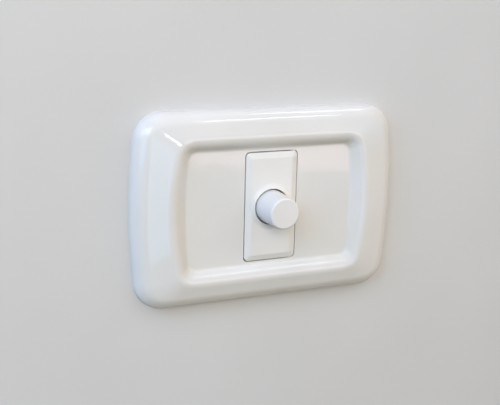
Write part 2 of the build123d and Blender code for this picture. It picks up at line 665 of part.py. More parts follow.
# Module housing: rear case, with a spigot that enters the skirt
with BuildPart() as module_housing:
    spigot_width = SKIRT_INNER_WIDTH - 2 * SPIGOT_GAP
    spigot_height = SKIRT_INNER_HEIGHT - 2 * SPIGOT_GAP
    with BuildSketch(depth(HOUSING_BACK)):
        RectangleRounded(HOUSING_WIDTH, HOUSING_HEIGHT, FACE_CORNER)
    extrude(amount=HOUSING_BACK - SKIRT_DEPTH)
    chamfer(module_housing.faces().sort_by(Axis.Y)[-1].edges(), HOUSING_BACK_BEVEL)
    with BuildSketch(depth(SKIRT_DEPTH)):
        Rectangle(spigot_width, spigot_height)
    extrude(amount=SKIRT_DEPTH - SPIGOT_DEPTH)
    # Snap wedges on the long sides of the spigot
    with BuildSketch(Plane.XY):
        for side in (-1, 1):
            with BuildLine():
                skin = side * spigot_width / 2
                Polyline(
                    (skin - side * SNAP_ROOT, SNAP_FRONT),
                    (skin, SNAP_FRONT),
                    (skin + side * SNAP_REACH, SNAP_BACK),
                    (skin - side * SNAP_ROOT, SNAP_BACK),
                    close=True,
                )
            make_face()
    extrude(amount=SNAP_LENGTH / 2, both=True)
    with BuildSketch(depth(HOUSING_BACK - HOUSING_BACK_WALL)):
        Rectangle(spigot_width - 2 * HOUSING_WALL, spigot_height - 2 * HOUSING_WALL)
    extrude(amount=HOUSING_BACK, mode=Mode.SUBTRACT)
    inner_width = HOUSING_WIDTH - 2 * HOUSING_WALL
    inner_height = HOUSING_HEIGHT - 2 * HOUSING_WALL
    with BuildSketch(depth(HOUSING_BACK - HOUSING_BACK_WALL)):
        Rectangle(inner_width, inner_height)
    extrude(amount=HOUSING_BACK - HOUSING_BACK_WALL - SKIRT_DEPTH - HOUSING_LIP, mode=Mode.SUBTRACT)
    # Corner posts carry the circuit board
    with BuildSketch(depth(HOUSING_BACK - HOUSING_BACK_WALL)):
        post_pitch_x = inner_width - POST_WIDTH + 2 * POST_ROOT
        post_pitch_z = inner_height - POST_HEIGHT + 2 * POST_ROOT
        with GridLocations(post_pitch_x, post_pitch_z, 2, 2):
            Rectangle(POST_WIDTH, POST_HEIGHT)
    extrude(amount=HOUSING_BACK - HOUSING_BACK_WALL - BOARD_BACK)
    # Screwdriver holes in the back, wire holes in the top and bottom
    with BuildSketch(depth(HOUSING_BACK)):
        with Locations((-TERMINAL_X, -TERMINAL_Z), (TERMINAL_X, -TERMINAL_Z), (0, TERMINAL_Z)):
            Circle(DRIVER_HOLE_RADIUS)
    extrude(amount=HOUSING_BACK_WALL, mode=Mode.SUBTRACT)
    with BuildSketch(Plane.XY.offset(HOUSING_HEIGHT / 2 - HOUSING_WALL)):
        with Locations((0, TERMINAL_MIDDLE)):
            Circle(WIRE_ENTRY_RADIUS)
    extrude(amount=HOUSING_WALL, mode=Mode.SUBTRACT)
    with BuildSketch(Plane.XY.offset(-HOUSING_HEIGHT / 2)):
        with Locations((-TERMINAL_X, TERMINAL_MIDDLE), (TERMINAL_X, TERMINAL_MIDDLE)):
            Circle(WIRE_ENTRY_RADIUS)
    extrude(amount=HOUSING_WALL, mode=Mode.SUBTRACT)
    # Cooling slots through the top and the bottom
    with BuildSketch(Plane.XY.offset(-HOUSING_HEIGHT)):
        with Locations((0, COOLING_SLOT_DEPTH)):
            with GridLocations(COOLING_SLOT_PITCH, 0, 5, 1):
                Rectangle(COOLING_SLOT_WIDTH, COOLING_SLOT_LENGTH)
    extrude(amount=2 * HOUSING_HEIGHT, mode=Mode.SUBTRACT)
save(module_housing, "module_housing")

# Knob: tapered shell with a D-bored sleeve held by four webs
with BuildPart() as dimmer_knob:
    slope = (KNOB_COLLAR_RADIUS - KNOB_FRONT_RADIUS) / (KNOB_FRONT_HEIGHT - COLLAR_HEIGHT)
    back_radius = KNOB_COLLAR_RADIUS + slope * (COLLAR_HEIGHT - KNOB_BACK_HEIGHT)
    knob_ceiling = KNOB_FRONT_HEIGHT - KNOB_TOP
    with BuildSketch(Plane.XY):
        Polygon(
            (0, -KNOB_BACK_HEIGHT),
            (back_radius, -KNOB_BACK_HEIGHT),
            (KNOB_FRONT_RADIUS, -KNOB_FRONT_HEIGHT),
            (0, -KNOB_FRONT_HEIGHT),
            align=None,
        )
    revolve(axis=Axis.Y)
    fillet(dimmer_knob.edges().filter_by(GeomType.CIRCLE).sort_by(Axis.Y)[0], KNOB_RIM_ROUND)
    with BuildSketch(Plane.XY):
        Polygon(
            (0, -KNOB_BACK_HEIGHT),
            (back_radius - KNOB_WALL, -KNOB_BACK_HEIGHT),
            (KNOB_FRONT_RADIUS - KNOB_WALL, -knob_ceiling),
            (0, -knob_ceiling),
            align=None,
        )
    revolve(axis=Axis.Y, mode=Mode.SUBTRACT)
    with BuildSketch(level(KNOB_SLEEVE_HEIGHT)):
        Circle(KNOB_SLEEVE_RADIUS)
    extrude(amount=knob_ceiling - KNOB_SLEEVE_HEIGHT + JOIN)
    with BuildSketch(level(KNOB_WEB_HEIGHT)):
        with PolarLocations(KNOB_WEB_RADIUS, 4):
            Rectangle(KNOB_WEB_LENGTH, KNOB_WEB_THICKNESS)
    extrude(amount=knob_ceiling - KNOB_WEB_HEIGHT + JOIN)
    with BuildSketch(level(KNOB_SLEEVE_HEIGHT)):
        add(d_section(SHAFT_RADIUS, SHAFT_FLAT))
    extrude(amount=SHAFT_FRONT_HEIGHT - KNOB_SLEEVE_HEIGHT, mode=Mode.SUBTRACT)
    with BuildSketch(level(KNOB_SLEEVE_HEIGHT)):
        Rectangle(SLEEVE_SLIT_WIDTH, SLEEVE_SLIT_LENGTH)
    extrude(amount=SLEEVE_SLIT_DEPTH, mode=Mode.SUBTRACT)
save(dimmer_knob, "dimmer_knob")

# Shaft: flats at the knob and at the rotor, and a rounded nose that presses the switch
with BuildPart() as control_shaft:
    with BuildSketch(level(SHAFT_FLAT_HEIGHT)):
        add(d_section(SHAFT_RADIUS, SHAFT_FLAT))
    extrude(amount=SHAFT_FRONT_HEIGHT - SHAFT_FLAT_HEIGHT)
    with BuildSketch(depth(SHAFT_FLAT_DEPTH)):
        Circle(SHAFT_RADIUS)
    extrude(amount=SHAFT_FLAT_DEPTH + SHAFT_FLAT_HEIGHT)
    with BuildSketch(depth(SHAFT_BACK)):
        add(d_section(SHAFT_RADIUS, SHAFT_FLAT))
    extrude(amount=SHAFT_BACK - SHAFT_FLAT_DEPTH)
    with BuildSketch(depth(SHAFT_BACK + SHAFT_NOSE)):
        Circle(SHAFT_NOSE_RADIUS)
    extrude(amount=SHAFT_NOSE)
    chamfer(control_shaft.faces().sort_by(Axis.Y)[-1].edges(), EDGE_BEVEL)
save(control_shaft, "control_shaft")

# Bushing: threaded barrel on a square flange, with a nib that stops it turning
with BuildPart() as control_bushing:
    with BuildSketch(depth(TRACK_FRONT)):
        Rectangle(CONTROL_FLANGE_SIZE, CONTROL_FLANGE_SIZE)
    extrude(amount=CONTROL_FLANGE)
    with BuildSketch(depth(SINK_BACK)):
        Circle(BUSHING_RADIUS)
    extrude(amount=SINK_BACK + BUSHING_FRONT_HEIGHT)
    chamfer(control_bushing.edges().filter_by(GeomType.CIRCLE).sort_by(Axis.Y)[0], EDGE_BEVEL)
    with BuildSketch(depth(SINK_BACK)):
        with Locations((0, NIB_Z)):
            Circle(NIB_RADIUS)
    extrude(amount=NIB_LENGTH)
    with BuildSketch(depth(TRACK_FRONT)):
        Circle(SHAFT_RADIUS + RUNNING_GAP)
    extrude(amount=TRACK_FRONT + BUSHING_FRONT_HEIGHT, mode=Mode.SUBTRACT)
save(control_bushing, "control_bushing")

# Toothed washer and nut hold the bushing to the heat sink plate
with BuildPart() as lock_washer:
    with BuildSketch(depth(SINK_FRONT)):
        Circle(WASHER_RADIUS)
        with PolarLocations(WASHER_RADIUS, WASHER_NOTCHES):
            Rectangle(2 * WASHER_NOTCH_DEPTH, WASHER_NOTCH_WIDTH, mode=Mode.SUBTRACT)
        Circle(BUSHING_RADIUS, mode=Mode.SUBTRACT)
    extrude(amount=WASHER_THICKNESS)
save(lock_washer, "lock_washer")

with BuildPart() as control_nut:
    with BuildSketch(depth(SINK_FRONT - WASHER_THICKNESS)):
        RegularPolygon(NUT_ACROSS_FLATS / 2, 6, major_radius=False)
        Circle(BUSHING_RADIUS, mode=Mode.SUBTRACT)
    extrude(amount=NUT_THICKNESS)
save(control_nut, "control_nut")

# Heat sink: aluminium plate behind the face, bent back at the top to carry the triac
with BuildPart() as heat_sink:
    with BuildSketch(depth(SINK_BACK)):
        Rectangle(SINK_WIDTH, SINK_HEIGHT)
    extrude(amount=SINK_THICKNESS)
    with BuildSketch(depth(SINK_FLANGE_END)):
        with Locations((0, SINK_FLANGE_Z - SINK_THICKNESS / 2)):
            Rectangle(SINK_FLANGE_WIDTH, SINK_THICKNESS)
    extrude(amount=SINK_FLANGE_END - SINK_FRONT)
    inner_bend = heat_sink.edges().filter_by(Axis.X).filter_by(
        lambda e: abs(e.center().Z - SINK_FLANGE_Z + SINK_THICKNESS) < 0.01
        and abs(e.center().Y - SINK_BACK) < 0.01
    )
    fillet(inner_bend, SINK_BEND)
    with BuildSketch(depth(SINK_BACK)):
        Circle(BUSHING_RADIUS)
        with Locations((0, NIB_Z)):
            Circle(NIB_RADIUS)
        with GridLocations(SINK_WIDTH, PRESS_RIB_PITCH_Z, 2, 2):
            Rectangle(2 * SINK_NOTCH_DEPTH, SINK_NOTCH_HEIGHT)
    extrude(amount=SINK_THICKNESS, mode=Mode.SUBTRACT)
    with BuildSketch(Plane.XY.offset(SINK_FLANGE_Z - SINK_THICKNESS)):
        with Locations((0, TRIAC_SCREW_DEPTH)):
            Circle(TRIAC_SCREW_RADIUS)
    extrude(amount=SINK_THICKNESS, mode=Mode.SUBTRACT)
save(heat_sink, "heat_sink")

# Control case: cup closed by the bushing flange, with a fixed stop for the rotor
inner_radius = CONTROL_RADIUS - CONTROL_CASE_WALL
tab_middle = -TAB_END + TAB_LENGTH / 2
with BuildPart() as control_case:
    with BuildSketch(depth(CONTROL_BACK)):
        Circle(CONTROL_RADIUS)
    extrude(amount=CONTROL_BACK - TRACK_FRONT)
    chamfer(control_case.edges().filter_by(GeomType.CIRCLE).sort_by(Axis.Y)[-1], EDGE_BEVEL)
    with BuildSketch(depth(CONTROL_BACK - CONTROL_BACK_WALL)):
        Circle(inner_radius)
        add(sector(STOP_INNER_RADIUS, inner_radius + JOIN, 270, STOP_HALF_ANGLE), mode=Mode.SUBTRACT)
    extrude(amount=CONTROL_BACK - CONTROL_BACK_WALL - TRACK_BACK - TRACK_GAP, mode=Mode.SUBTRACT)
    with BuildSketch(depth(TRACK_BACK + TRACK_GAP)):
        Circle(inner_radius)
        with Locations((0, tab_middle)):
            Rectangle(2 * (TAB_HALF_WIDTH + TAB_WINDOW_GAP), TAB_WINDOW_LENGTH)
    extrude(amount=TRACK_THICKNESS + TRACK_GAP, mode=Mode.SUBTRACT)
    with BuildSketch(depth(CONTROL_BACK)):
        Circle(SHAFT_RADIUS + SHAFT_HOLE_GAP)
    extrude(amount=CONTROL_BACK_WALL, mode=Mode.SUBTRACT)
save(control_case, "control_case")

# Resistance track: wafer with a tab that carries three pins down to the circuit board
with BuildPart() as resistance_track:
    with BuildSketch(depth(TRACK_BACK)):
        Circle(inner_radius - TRACK_GAP)
        with Locations((0, tab_middle)):
            Rectangle(2 * TAB_HALF_WIDTH, TAB_LENGTH)
        Circle(SHAFT_RADIUS + TRACK_HOLE_GAP, mode=Mode.SUBTRACT)
    extrude(amount=TRACK_THICKNESS)
save(resistance_track, "resistance_track")

for count in range(3):
    with BuildPart() as track_pin:
        with BuildSketch(depth(BOARD_BACK)):
            with Locations(((count - 1) * PIN_PITCH, PIN_Z)):
                Rectangle(PIN_WIDTH, PIN_THICKNESS)
        extrude(amount=BOARD_BACK - TRACK_BACK)
        with BuildSketch(depth(TRACK_BACK + PIN_HEAD_THICKNESS)):
            with Locations(((count - 1) * PIN_PITCH, PIN_Z)):
                Rectangle(PIN_HEAD_WIDTH, PIN_HEAD_HEIGHT)
        extrude(amount=PIN_HEAD_THICKNESS)
    save(track_pin, f"track_pin_{count + 1}")

# Wiper rotor: keyed to the shaft, with a lug that meets the fixed stop at each end of its turn
with BuildPart() as wiper_rotor:
    with BuildSketch(depth(ROTOR_FRONT + ROTOR_THICKNESS)):
        Circle(ROTOR_RADIUS)
    extrude(amount=ROTOR_THICKNESS)
    with BuildSketch(depth(ROTOR_HUB_BACK)):
        Circle(ROTOR_HUB_RADIUS)
        lug_inner = ROTOR_RADIUS - STOP_LUG_ROOT
        add(sector(lug_inner, inner_radius - STOP_LUG_GAP, 90, STOP_LUG_HALF_ANGLE))
    extrude(amount=ROTOR_HUB_BACK - ROTOR_FRONT)
    with BuildSketch(depth(ROTOR_HUB_BACK)):
        add(d_section(SHAFT_RADIUS + RUNNING_GAP, SHAFT_FLAT + RUNNING_GAP))
    extrude(amount=ROTOR_HUB_BACK - ROTOR_FRONT, mode=Mode.SUBTRACT)
save(wiper_rotor, "wiper_rotor")

# Wiper contact: spring ring on the rotor, with a finger that runs just over the track
with BuildPart() as wiper_contact:
    with BuildSketch(depth(ROTOR_FRONT)):
        Circle(CONTACT_OUTER_RADIUS)
        Circle(CONTACT_INNER_RADIUS, mode=Mode.SUBTRACT)
    extrude(amount=CONTACT_THICKNESS)
    with BuildSketch(depth(ROTOR_FRONT)):
        add(sector(CONTACT_INNER_RADIUS, CONTACT_OUTER_RADIUS, 90, FINGER_HALF_ANGLE))
    extrude(amount=ROTOR_FRONT - TRACK_BACK - FINGER_GAP)
save(wiper_contact, "wiper_contact")

# Push switch behind the control: case, plunger, contact bridge, two pins and a return spring
with BuildPart() as switch_case:
    with BuildSketch(depth(SWITCH_BACK)):
        Rectangle(SWITCH_SIZE, SWITCH_SIZE)
    extrude(amount=SWITCH_BACK - CONTROL_BACK)
    with BuildSketch(depth(SPRING_END)):
        Rectangle(SWITCH_SIZE - 2 * SWITCH_WALL, SWITCH_SIZE - 2 * SWITCH_WALL)
    extrude(amount=SPRING_END - CONTROL_BACK - SWITCH_WALL, mode=Mode.SUBTRACT)
    with BuildSketch(depth(CONTROL_BACK + SWITCH_WALL)):
        Circle(SHAFT_RADIUS + SHAFT_HOLE_GAP)
    extrude(amount=SWITCH_WALL, mode=Mode.SUBTRACT)
    with BuildSketch(depth(SWITCH_BACK)):
        with Locations((-SWITCH_PIN_X, 0), (SWITCH_PIN_X, 0)):
            Rectangle(SWITCH_PIN_WIDTH, SWITCH_PIN_HEIGHT)
    extrude(amount=SWITCH_WALL, mode=Mode.SUBTRACT)
save(switch_case, "switch_case")

with BuildPart() as switch_plunger:
    with BuildSketch(depth(BRIDGE_FRONT)):
        Rectangle(PLUNGER_SIZE, PLUNGER_SIZE)
    extrude(amount=PLUNGER_THICKNESS)
    with BuildSketch(depth(BRIDGE_FRONT + PLUNGER_STEM_LENGTH)):
        Circle(PLUNGER_STEM_RADIUS)
    extrude(amount=PLUNGER_STEM_LENGTH)
save(switch_plunger, "switch_plunger")

with BuildPart() as contact_bridge:
    with BuildSketch(depth(BRIDGE_BACK)):
        Circle(SPRING_RADIUS + BRIDGE_SEAT)
        Rectangle(2 * (SWITCH_PIN_X + BRIDGE_OVERHANG), BRIDGE_HEIGHT)
        Circle(PLUNGER_STEM_RADIUS, mode=Mode.SUBTRACT)
    extrude(amount=BRIDGE_THICKNESS)
save(contact_bridge, "contact_bridge")

for side, name in ((-1, "switch_pin_left"), (1, "switch_pin_right")):
    with BuildPart() as switch_pin:
        with BuildSketch(depth(BOARD_BACK)):
            with Locations((side * SWITCH_PIN_X, 0)):
                Rectangle(SWITCH_PIN_WIDTH, SWITCH_PIN_HEIGHT)
        extrude(amount=BOARD_BACK - BRIDGE_BACK - PUSH_TRAVEL - CONTACT_GAP)
    save(switch_pin, name)

with BuildPart() as return_spring:
    spring_path = coil_line(
        SPRING_RADIUS, BRIDGE_BACK + SPRING_WIRE_RADIUS, SPRING_END - SPRING_WIRE_RADIUS, SPRING_TURNS
    )
    with BuildSketch(Plane(origin=spring_path @ 0, z_dir=spring_path % 0)):
        RegularPolygon(SPRING_WIRE_RADIUS, 6)
    sweep(path=spring_path, transition=Transition.RIGHT)
save(return_spring, "return_spring")

# Triac: flat package against the heat sink's flange, with three leads to the board
with BuildPart() as triac:
    with BuildSketch(Plane.XY.offset(TRIAC_Z)):
        with Locations((0, (TRIAC_BODY_FRONT + TRIAC_TAB_FRONT) / 2)):
            Rectangle(TRIAC_WIDTH, TRIAC_BODY_FRONT - TRIAC_TAB_FRONT)
        with Locations((0, TRIAC_SCREW_DEPTH)):
            Circle(TRIAC_HOLE_RADIUS, mode=Mode.SUBTRACT)
    extrude(amount=-TRIAC_TAB_THICKNESS)
    with BuildSketch(Plane.XY.offset(TRIAC_Z)):
        with Locations((0, (TRIAC_BODY_FRONT + TRIAC_BODY_BACK) / 2)):
            Rectangle(TRIAC_WIDTH, TRIAC_BODY_BACK - TRIAC_BODY_FRONT)
    extrude(amount=-TRIAC_THICKNESS)
    chamfer(triac.faces().sort_by(Axis.Z)[0].edges(), EDGE_BEVEL)
    with BuildSketch(depth(BOARD_BACK)):
        with Locations((0, TRIAC_LEAD_Z)):
            with GridLocations(LEAD_PITCH, 0, 3, 1):
                Rectangle(PIN_WIDTH, PIN_THICKNESS)
    extrude(amount=BOARD_BACK - TRIAC_BODY_BACK)
save(triac, "triac")

with BuildPart() as triac_screw:
    tab_z = TRIAC_Z - TRIAC_TAB_THICKNESS
    with BuildSketch(Plane.XY.offset(tab_z)):
        with Locations((0, TRIAC_SCREW_DEPTH)):
            Circle(SLOTTED_HEAD_RADIUS)
    extrude(amount=-TRIAC_SCREW_HEAD)
    chamfer(triac_screw.faces().sort_by(Axis.Z)[0].edges(), TRIAC_SCREW_BEVEL)
    with BuildSketch(Plane.XY.offset(tab_z)):
        with Locations((0, TRIAC_SCREW_DEPTH)):
            Circle(TRIAC_SCREW_RADIUS)
    extrude(amount=TRIAC_TAB_THICKNESS + SINK_THICKNESS)
    with BuildSketch(Plane.XY.offset(tab_z - TRIAC_SCREW_HEAD)):
        with Locations((0, TRIAC_SCREW_DEPTH)):
            Rectangle(DRIVER_SLOT_LENGTH, DRIVER_SLOT_WIDTH)
    extrude(amount=DRIVER_SLOT_DEPTH, mode=Mode.SUBTRACT)
save(triac_screw, "triac_screw")

# Choke: ferrite drum standing on the board, wound with one layer of wire
winding_radius = CHOKE_DRUM_RADIUS + CHOKE_WIRE_RADIUS + CHOKE_WIRE_GAP
winding_start = CHOKE_FRONT + CHOKE_FLANGE + CHOKE_WIRE_RADIUS + CHOKE_END_GAP
winding_end = BOARD_FRONT - CHOKE_FLANGE - CHOKE_WIRE_RADIUS - CHOKE_END_GAP
choke_section = Plane(origin=(0, 0, CHOKE_Z), x_dir=(1, 0, 0), z_dir=(0, 0, 1))
with BuildPart() as choke_core:
    with BuildSketch(choke_section):
        Polygon(
            (0, CHOKE_FRONT),
            (CHOKE_RADIUS, CHOKE_FRONT),
            (CHOKE_RADIUS, CHOKE_FRONT + CHOKE_FLANGE),
            (CHOKE_DRUM_RADIUS, CHOKE_FRONT + CHOKE_FLANGE),
            (CHOKE_DRUM_RADIUS, BOARD_FRONT - CHOKE_FLANGE),
            (CHOKE_RADIUS, BOARD_FRONT - CHOKE_FLANGE),
            (CHOKE_RADIUS, BOARD_FRONT),
            (0, BOARD_FRONT),
            align=None,
        )
    revolve(axis=Axis((0, 0, CHOKE_Z), (0, 1, 0)))
    with BuildSketch(depth(BOARD_FRONT)):
        with Locations((0, CHOKE_Z - CHOKE_RADIUS), (0, CHOKE_Z + CHOKE_RADIUS)):
            Rectangle(CHOKE_SLOT_WIDTH, 2 * (CHOKE_RADIUS - CHOKE_DRUM_RADIUS) + JOIN)
    extrude(amount=CHOKE_FLANGE, mode=Mode.SUBTRACT)
save(choke_core, "choke_core")

with BuildPart() as choke_winding:
    turns_path = coil_line(winding_radius, winding_start, winding_end, CHOKE_TURNS, CHOKE_Z)
    with BuildSketch(Plane(origin=turns_path @ 0, z_dir=turns_path % 0)):
        RegularPolygon(CHOKE_WIRE_RADIUS, 6)
    sweep(path=turns_path, transition=Transition.RIGHT)
    # The first turn's lead steps out past the others, the last turn's goes straight to the board
    first_z = CHOKE_Z + CHOKE_LEAD_RADIUS
    last_z = (turns_path @ 1).Z
    with BuildSketch(depth(BOARD_BACK)):
        with Locations((0, first_z), (0, last_z)):
            RegularPolygon(CHOKE_WIRE_RADIUS, 6)
    extrude(amount=BOARD_BACK - winding_end)
    with BuildSketch(depth(winding_end)):
        with Locations((0, first_z)):
            RegularPolygon(CHOKE_WIRE_RADIUS, 6)
    extrude(amount=winding_end - winding_start + CHOKE_WIRE_RADIUS)
    with BuildSketch(Plane.XY.offset(CHOKE_Z + winding_radius)):
        with Locations((0, winding_start)):
            RegularPolygon(CHOKE_WIRE_RADIUS, 6)
    extrude(amount=CHOKE_LEAD_RADIUS - winding_radius)
save(choke_winding, "choke_winding")
choke_lead_spots = ((0, first_z), (0, last_z))

# Box-shaped capacitors: one behind the board, a small one in front of it
with BuildPart() as suppression_capacitor:
    with BuildSketch(depth(BOARD_BACK + SUPPRESSION_DEPTH)):
        with Locations((SUPPRESSION_X, 0)):
            Rectangle(SUPPRESSION_WIDTH, SUPPRESSION_HEIGHT)
    extrude(amount=SUPPRESSION_DEPTH)
    chamfer(suppression_capacitor.edges().filter_by(Axis.Y), SUPPRESSION_BEVEL)
    with BuildSketch(depth(BOARD_BACK)):
        with Locations((SUPPRESSION_X, -SUPPRESSION_LEAD_Z), (SUPPRESSION_X, SUPPRESSION_LEAD_Z)):
            RegularPolygon(LEAD_RADIUS, 6)
    extrude(amount=BOARD_THICKNESS + LEAD_TRIM)
save(suppression_capacitor, "suppression_capacitor")

with BuildPart() as timing_capacitor:
    with BuildSketch(depth(BOARD_FRONT)):
        with Locations((0, TIMING_Z)):
            Rectangle(TIMING_WIDTH, TIMING_HEIGHT)
    extrude(amount=TIMING_DEPTH)
    chamfer(timing_capacitor.edges().filter_by(Axis.Y), EDGE_BEVEL)
    with BuildSketch(depth(BOARD_BACK)):
        with Locations((-TIMING_LEAD_X, TIMING_Z), (TIMING_LEAD_X, TIMING_Z)):
            RegularPolygon(LEAD_RADIUS, 6)
    extrude(amount=BOARD_BACK - BOARD_FRONT)
save(timing_capacitor, "timing_capacitor")

# Axial parts lie on the back of the board: waisted bodies with leads bent down through it
axial_lead_spots = []
for name, body_radius, body_length, x, z in (
    ("resistor_1", 1.15, 6.4, 1.3, -5.1),
    ("resistor_2", 1.15, 6.4, 1.3, 5.1),
    ("diac", 0.9, 3.8, -1.6, 0.0),
):
    middle = BOARD_BACK + body_radius + AXIAL_GAP
    reach = body_length / 2 + AXIAL_BEND
    with BuildPart() as axial_part:
        with BuildLine() as lead:
            Polyline(
                (x, BOARD_FRONT - LEAD_TRIM, z - reach),
                (x, middle, z - reach),
                (x, middle, z + reach),
                (x, BOARD_FRONT - LEAD_TRIM, z + reach),
            )
        with BuildSketch(Plane(origin=lead.line @ 0, x_dir=(1, 0, 0), z_dir=(0, 1, 0))):
            RegularPolygon(LEAD_RADIUS, 6)
        sweep(path=lead.line, transition=Transition.RIGHT)
        with BuildSketch(Plane.XY.offset(z - body_length / 2)):
            with Locations((x, middle)):
                Circle(body_radius)
        extrude(amount=body_length)
    save(axial_part, name)
    axial_lead_spots += [(x, z - reach), (x, z + reach)]

# Fuse: glass tube with a wire and two caps, held in two spring clips
with BuildPart() as fuse_tube:
    with BuildSketch(Plane.XY):
        with Locations((FUSE_X, FUSE_DEPTH)):
            Circle(FUSE_RADIUS)
            Circle(FUSE_RADIUS - FUSE_GLASS, mode=Mode.SUBTRACT)
    extrude(amount=FUSE_LENGTH / 2 - FUSE_CAP_WALL, both=True)
save(fuse_tube, "fuse_tube")

with BuildPart() as fuse_wire:
    with BuildSketch(Plane.XY):
        with Locations((FUSE_X, FUSE_DEPTH)):
            Circle(FUSE_WIRE_RADIUS)
    extrude(amount=FUSE_LENGTH / 2 - FUSE_CAP_WALL, both=True)
save(fuse_wire, "fuse_wire")

for side, place in ((-1, "lower"), (1, "upper")):
    with BuildPart() as fuse_cap:
        with BuildSketch(Plane.XY.offset(side * FUSE_LENGTH / 2)):
            with Locations((FUSE_X, FUSE_DEPTH)):
                Circle(FUSE_CAP_RADIUS)
        extrude(amount=-side * FUSE_CAP_LENGTH)
        with BuildSketch(Plane.XY.offset(side * (FUSE_LENGTH / 2 - FUSE_CAP_WALL))):
            with Locations((FUSE_X, FUSE_DEPTH)):
                Circle(FUSE_RADIUS)
        extrude(amount=-side * FUSE_CAP_LENGTH, mode=Mode.SUBTRACT)
    save(fuse_cap, f"fuse_cap_{place}")
    with BuildPart() as fuse_clip:
        with BuildSketch(Plane.XY.offset(side * FUSE_CLIP_Z)):
            with Locations((FUSE_X, FUSE_DEPTH)):
                Circle(FUSE_CAP_RADIUS + FUSE_CLIP_WALL)
            with Locations((FUSE_X, (BOARD_BACK + FUSE_DEPTH) / 2)):
                Rectangle(FUSE_CLIP_FOOT, FUSE_DEPTH - BOARD_BACK)
            with Locations((FUSE_X, FUSE_DEPTH)):
                Circle(FUSE_CAP_RADIUS, mode=Mode.SUBTRACT)
            with Locations((FUSE_X, FUSE_DEPTH + FUSE_CLIP_MOUTH_DEPTH)):
                Rectangle(FUSE_CLIP_MOUTH, FUSE_CLIP_MOUTH_LENGTH, mode=Mode.SUBTRACT)
        extrude(amount=FUSE_CLIP_LENGTH / 2, both=True)
        with BuildSketch(depth(BOARD_BACK)):
            with Locations((FUSE_X, side * FUSE_CLIP_Z)):
                Rectangle(FUSE_LEG_WIDTH, FUSE_LEG_HEIGHT)
        extrude(amount=BOARD_THICKNESS + LEAD_TRIM)
    save(fuse_clip, f"fuse_clip_{place}")

# Terminals: brass blocks with a wire hole, each with a captive screw and two legs in the board
for count, (x, z) in enumerate(TERMINAL_SPOTS, start=1):
    outward = 1 if z > 0 else -1
    with BuildPart() as terminal_block:
        with BuildSketch(depth(TERMINAL_BACK)):
            with Locations((x, z)):
                Rectangle(TERMINAL_SIZE, TERMINAL_SIZE)
        extrude(amount=TERMINAL_DEPTH)
        with BuildSketch(Plane.XY.offset(z + outward * TERMINAL_SIZE / 2)):
            with Locations((x, TERMINAL_MIDDLE)):
                Circle(WIRE_HOLE_RADIUS)
        extrude(amount=-outward * (TERMINAL_SIZE - TERMINAL_WALL), mode=Mode.SUBTRACT)
        with BuildSketch(depth(TERMINAL_BACK)):
            with Locations((x, z)):
                Circle(TERMINAL_SCREW_RADIUS)
        extrude(amount=TERMINAL_BACK - TERMINAL_MIDDLE, mode=Mode.SUBTRACT)
        with BuildSketch(depth(BOARD_BACK)):
            with Locations((x - LEG_X, z), (x + LEG_X, z)):
                Rectangle(LEG_WIDTH, LEG_HEIGHT)
        extrude(amount=BOARD_THICKNESS)
    save(terminal_block, f"terminal_block_{count}")
    with BuildPart() as terminal_screw:
        with BuildSketch(depth(TERMINAL_BACK)):
            with Locations((x, z)):
                Circle(TERMINAL_SCREW_RADIUS)
        extrude(amount=TERMINAL_BACK - TERMINAL_MIDDLE - WIRE_HOLE_RADIUS - TERMINAL_SCREW_GAP)
        with BuildSketch(depth(TERMINAL_BACK + TERMINAL_HEAD_THICKNESS)):
            with Locations((x, z)):
                Circle(SLOTTED_HEAD_RADIUS)
        extrude(amount=TERMINAL_HEAD_THICKNESS)
        with BuildSketch(depth(TERMINAL_BACK + TERMINAL_HEAD_THICKNESS)):
            with Locations((x, z)):
                Rectangle(DRIVER_SLOT_LENGTH, DRIVER_SLOT_WIDTH)
        extrude(amount=DRIVER_SLOT_DEPTH, mode=Mode.SUBTRACT)
    save(terminal_screw, f"terminal_screw_{count}")

# Circuit board, slotted and drilled where each lead passes through it
with BuildPart() as circuit_board:
    with BuildSketch(depth(BOARD_BACK)):
        Rectangle(BOARD_WIDTH, BOARD_HEIGHT)
        with Locations((0, PIN_Z)):
            with GridLocations(PIN_PITCH, 0, 3, 1):
                Rectangle(PIN_WIDTH, PIN_THICKNESS, mode=Mode.SUBTRACT)
        with Locations((0, TRIAC_LEAD_Z)):
            with GridLocations(LEAD_PITCH, 0, 3, 1):
                Rectangle(PIN_WIDTH, PIN_THICKNESS, mode=Mode.SUBTRACT)
        with GridLocations(2 * SWITCH_PIN_X, 0, 2, 1):
            Rectangle(SWITCH_PIN_WIDTH, SWITCH_PIN_HEIGHT, mode=Mode.SUBTRACT)
        with Locations(*choke_lead_spots):
            RegularPolygon(CHOKE_WIRE_RADIUS, 6, mode=Mode.SUBTRACT)
        with Locations(
            (SUPPRESSION_X, -SUPPRESSION_LEAD_Z),
            (SUPPRESSION_X, SUPPRESSION_LEAD_Z),
            (-TIMING_LEAD_X, TIMING_Z),
            (TIMING_LEAD_X, TIMING_Z),
            *axial_lead_spots,
        ):
            RegularPolygon(LEAD_RADIUS, 6, mode=Mode.SUBTRACT)
        with Locations((FUSE_X, -FUSE_CLIP_Z), (FUSE_X, FUSE_CLIP_Z)):
            Rectangle(FUSE_LEG_WIDTH, FUSE_LEG_HEIGHT, mode=Mode.SUBTRACT)
        with Locations(*TERMINAL_SPOTS):
            with GridLocations(2 * LEG_X, 0, 2, 1):
                Rectangle(LEG_WIDTH, LEG_HEIGHT, mode=Mode.SUBTRACT)
    extrude(amount=BOARD_THICKNESS)
save(circuit_board, "circuit_board")
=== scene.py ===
from math import cos, pi, radians, sin

import bmesh
import bpy
from mathutils import Matrix, Vector


